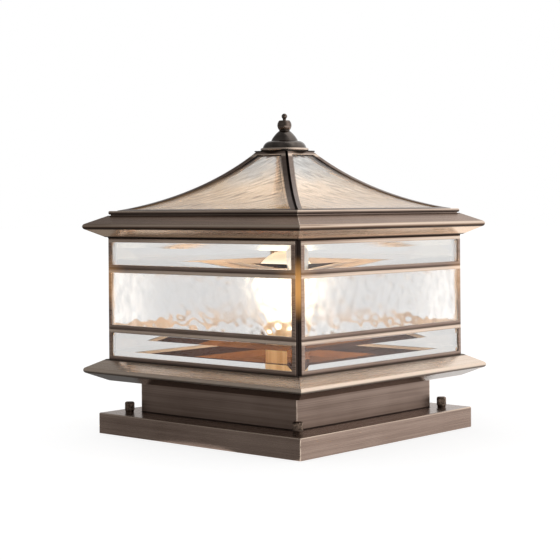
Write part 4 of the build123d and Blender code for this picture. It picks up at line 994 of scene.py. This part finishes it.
# Grey screen: a curved studio card with its foot on the floor, which stands round the lantern but
# for its back right and is palest towards there. Metal reflects it, and nothing else shows it.
SCREEN_RADIUS, SCREEN_LEVEL, LIT_SIDE = 3.0, 0.205, math.radians(65)
SCREEN_START, SHELL_END, SOLE_END, SHELL_HEAD, SOLE_START = 37, 310, 248, 88, 0.05
SCREEN_COLUMNS, SCREEN_ROWS, SOLE_HEIGHT = 70, 24, 0.0001
round_angle, rise_angle = np.meshgrid(
    LIT_SIDE + np.radians(np.linspace(SCREEN_START, SHELL_END, SCREEN_COLUMNS)),
    np.radians(np.linspace(0, SHELL_HEAD, SCREEN_ROWS)),
    indexing="ij",
)
level_share = np.cos(rise_angle)
shell = SCREEN_RADIUS * np.stack(
    [np.cos(round_angle) * level_share, np.sin(round_angle) * level_share, np.sin(rise_angle)], -1
)
sole_angle, sole_reach = np.meshgrid(
    LIT_SIDE + np.radians(np.linspace(SCREEN_START, SOLE_END, SCREEN_COLUMNS)),
    SCREEN_RADIUS * np.linspace(SOLE_START, 1, SCREEN_ROWS),
    indexing="ij",
)
sole = np.stack(
    [
        sole_reach * np.cos(sole_angle),
        sole_reach * np.sin(sole_angle),
        np.full_like(sole_reach, SOLE_HEIGHT),
    ],
    -1,
)
screen_quads, screen_index = grid_faces(SCREEN_COLUMNS, SCREEN_ROWS)
screen = mesh_of(
    "grey_screen",
    np.concatenate([shell.reshape(-1, 3), sole.reshape(-1, 3)]),
    screen_quads,
    screen_quads + screen_index.size,
)
screen.visible_camera = False
screen.visible_diffuse = False
screen.visible_transmission = False
screen.visible_shadow = False
screen_grey, place = new_finish("screen_grey")
facing = place.node("VectorMath", {"operation": "NORMALIZE"}, {0: place})
lit_way = (math.cos(LIT_SIDE), math.sin(LIT_SIDE), 0)
toward = facing.node("VectorMath", {"operation": "DOT_PRODUCT"}, {0: facing, 1: lit_way}, "Value")
grey = SCREEN_LEVEL + (1 - SCREEN_LEVEL) * toward.smooth(-0.2, 0.65)
glow = place.node("Emission", None, {"Color": grey, "Strength": 1.0})
place.node("OutputMaterial", None, {"Surface": glow})
screen.data.materials.append(screen_grey)

# Surround and camera: an even white surround, which is less strong as a light than it looks, and
# a camera at the photograph's place and angle.
AIR_LEVEL = 0.7
scene = bpy.context.scene
scene.view_settings.view_transform = "Standard"
scene.world = bpy.data.worlds.new("studio")
scene.world.use_nodes = True
scene.world.node_tree.nodes.clear()
air = Wire(scene.world.node_tree)
path = air.node("LightPath").socket.node.outputs
seen = Wire(air.tree, path["Is Camera Ray"]).larger(Wire(air.tree, path["Is Glossy Ray"]))
seen = seen.larger(Wire(air.tree, path["Is Transmission Ray"]))
strength = AIR_LEVEL + (1 - AIR_LEVEL) * seen
sky = air.node("Background", None, {"Color": (1, 1, 1, 1), "Strength": strength})
air.node("OutputWorld", None, {"Surface": sky})

CAMERA_AZIMUTH, CAMERA_DISTANCE, CAMERA_HEIGHT = math.radians(41.406), 1.5683, 0.2352
CAMERA_ROLL = math.radians(-0.446)
FOCAL_PIXELS, CENTRE_X, HORIZON_Y, PICTURE, SENSOR = 1492.5, 285.06, 205.82, 560, 36.0
camera_data = bpy.data.cameras.new("camera")
camera_data.sensor_width = SENSOR
camera_data.lens = SENSOR * FOCAL_PIXELS / PICTURE
camera_data.shift_x = 0.5 - CENTRE_X / PICTURE
camera_data.shift_y = HORIZON_Y / PICTURE - 0.5
camera = bpy.data.objects.new("camera", camera_data)
back = Vector((math.sin(CAMERA_AZIMUTH), -math.cos(CAMERA_AZIMUTH), 0))
aim = (-back).to_track_quat("-Z", "Y").to_matrix().to_4x4()
standing = Matrix.Translation(back * CAMERA_DISTANCE + Vector((0, 0, CAMERA_HEIGHT)))
camera.matrix_world = standing @ aim @ Matrix.Rotation(CAMERA_ROLL, 4, "Z")
scene.collection.objects.link(camera)
scene.camera = camera
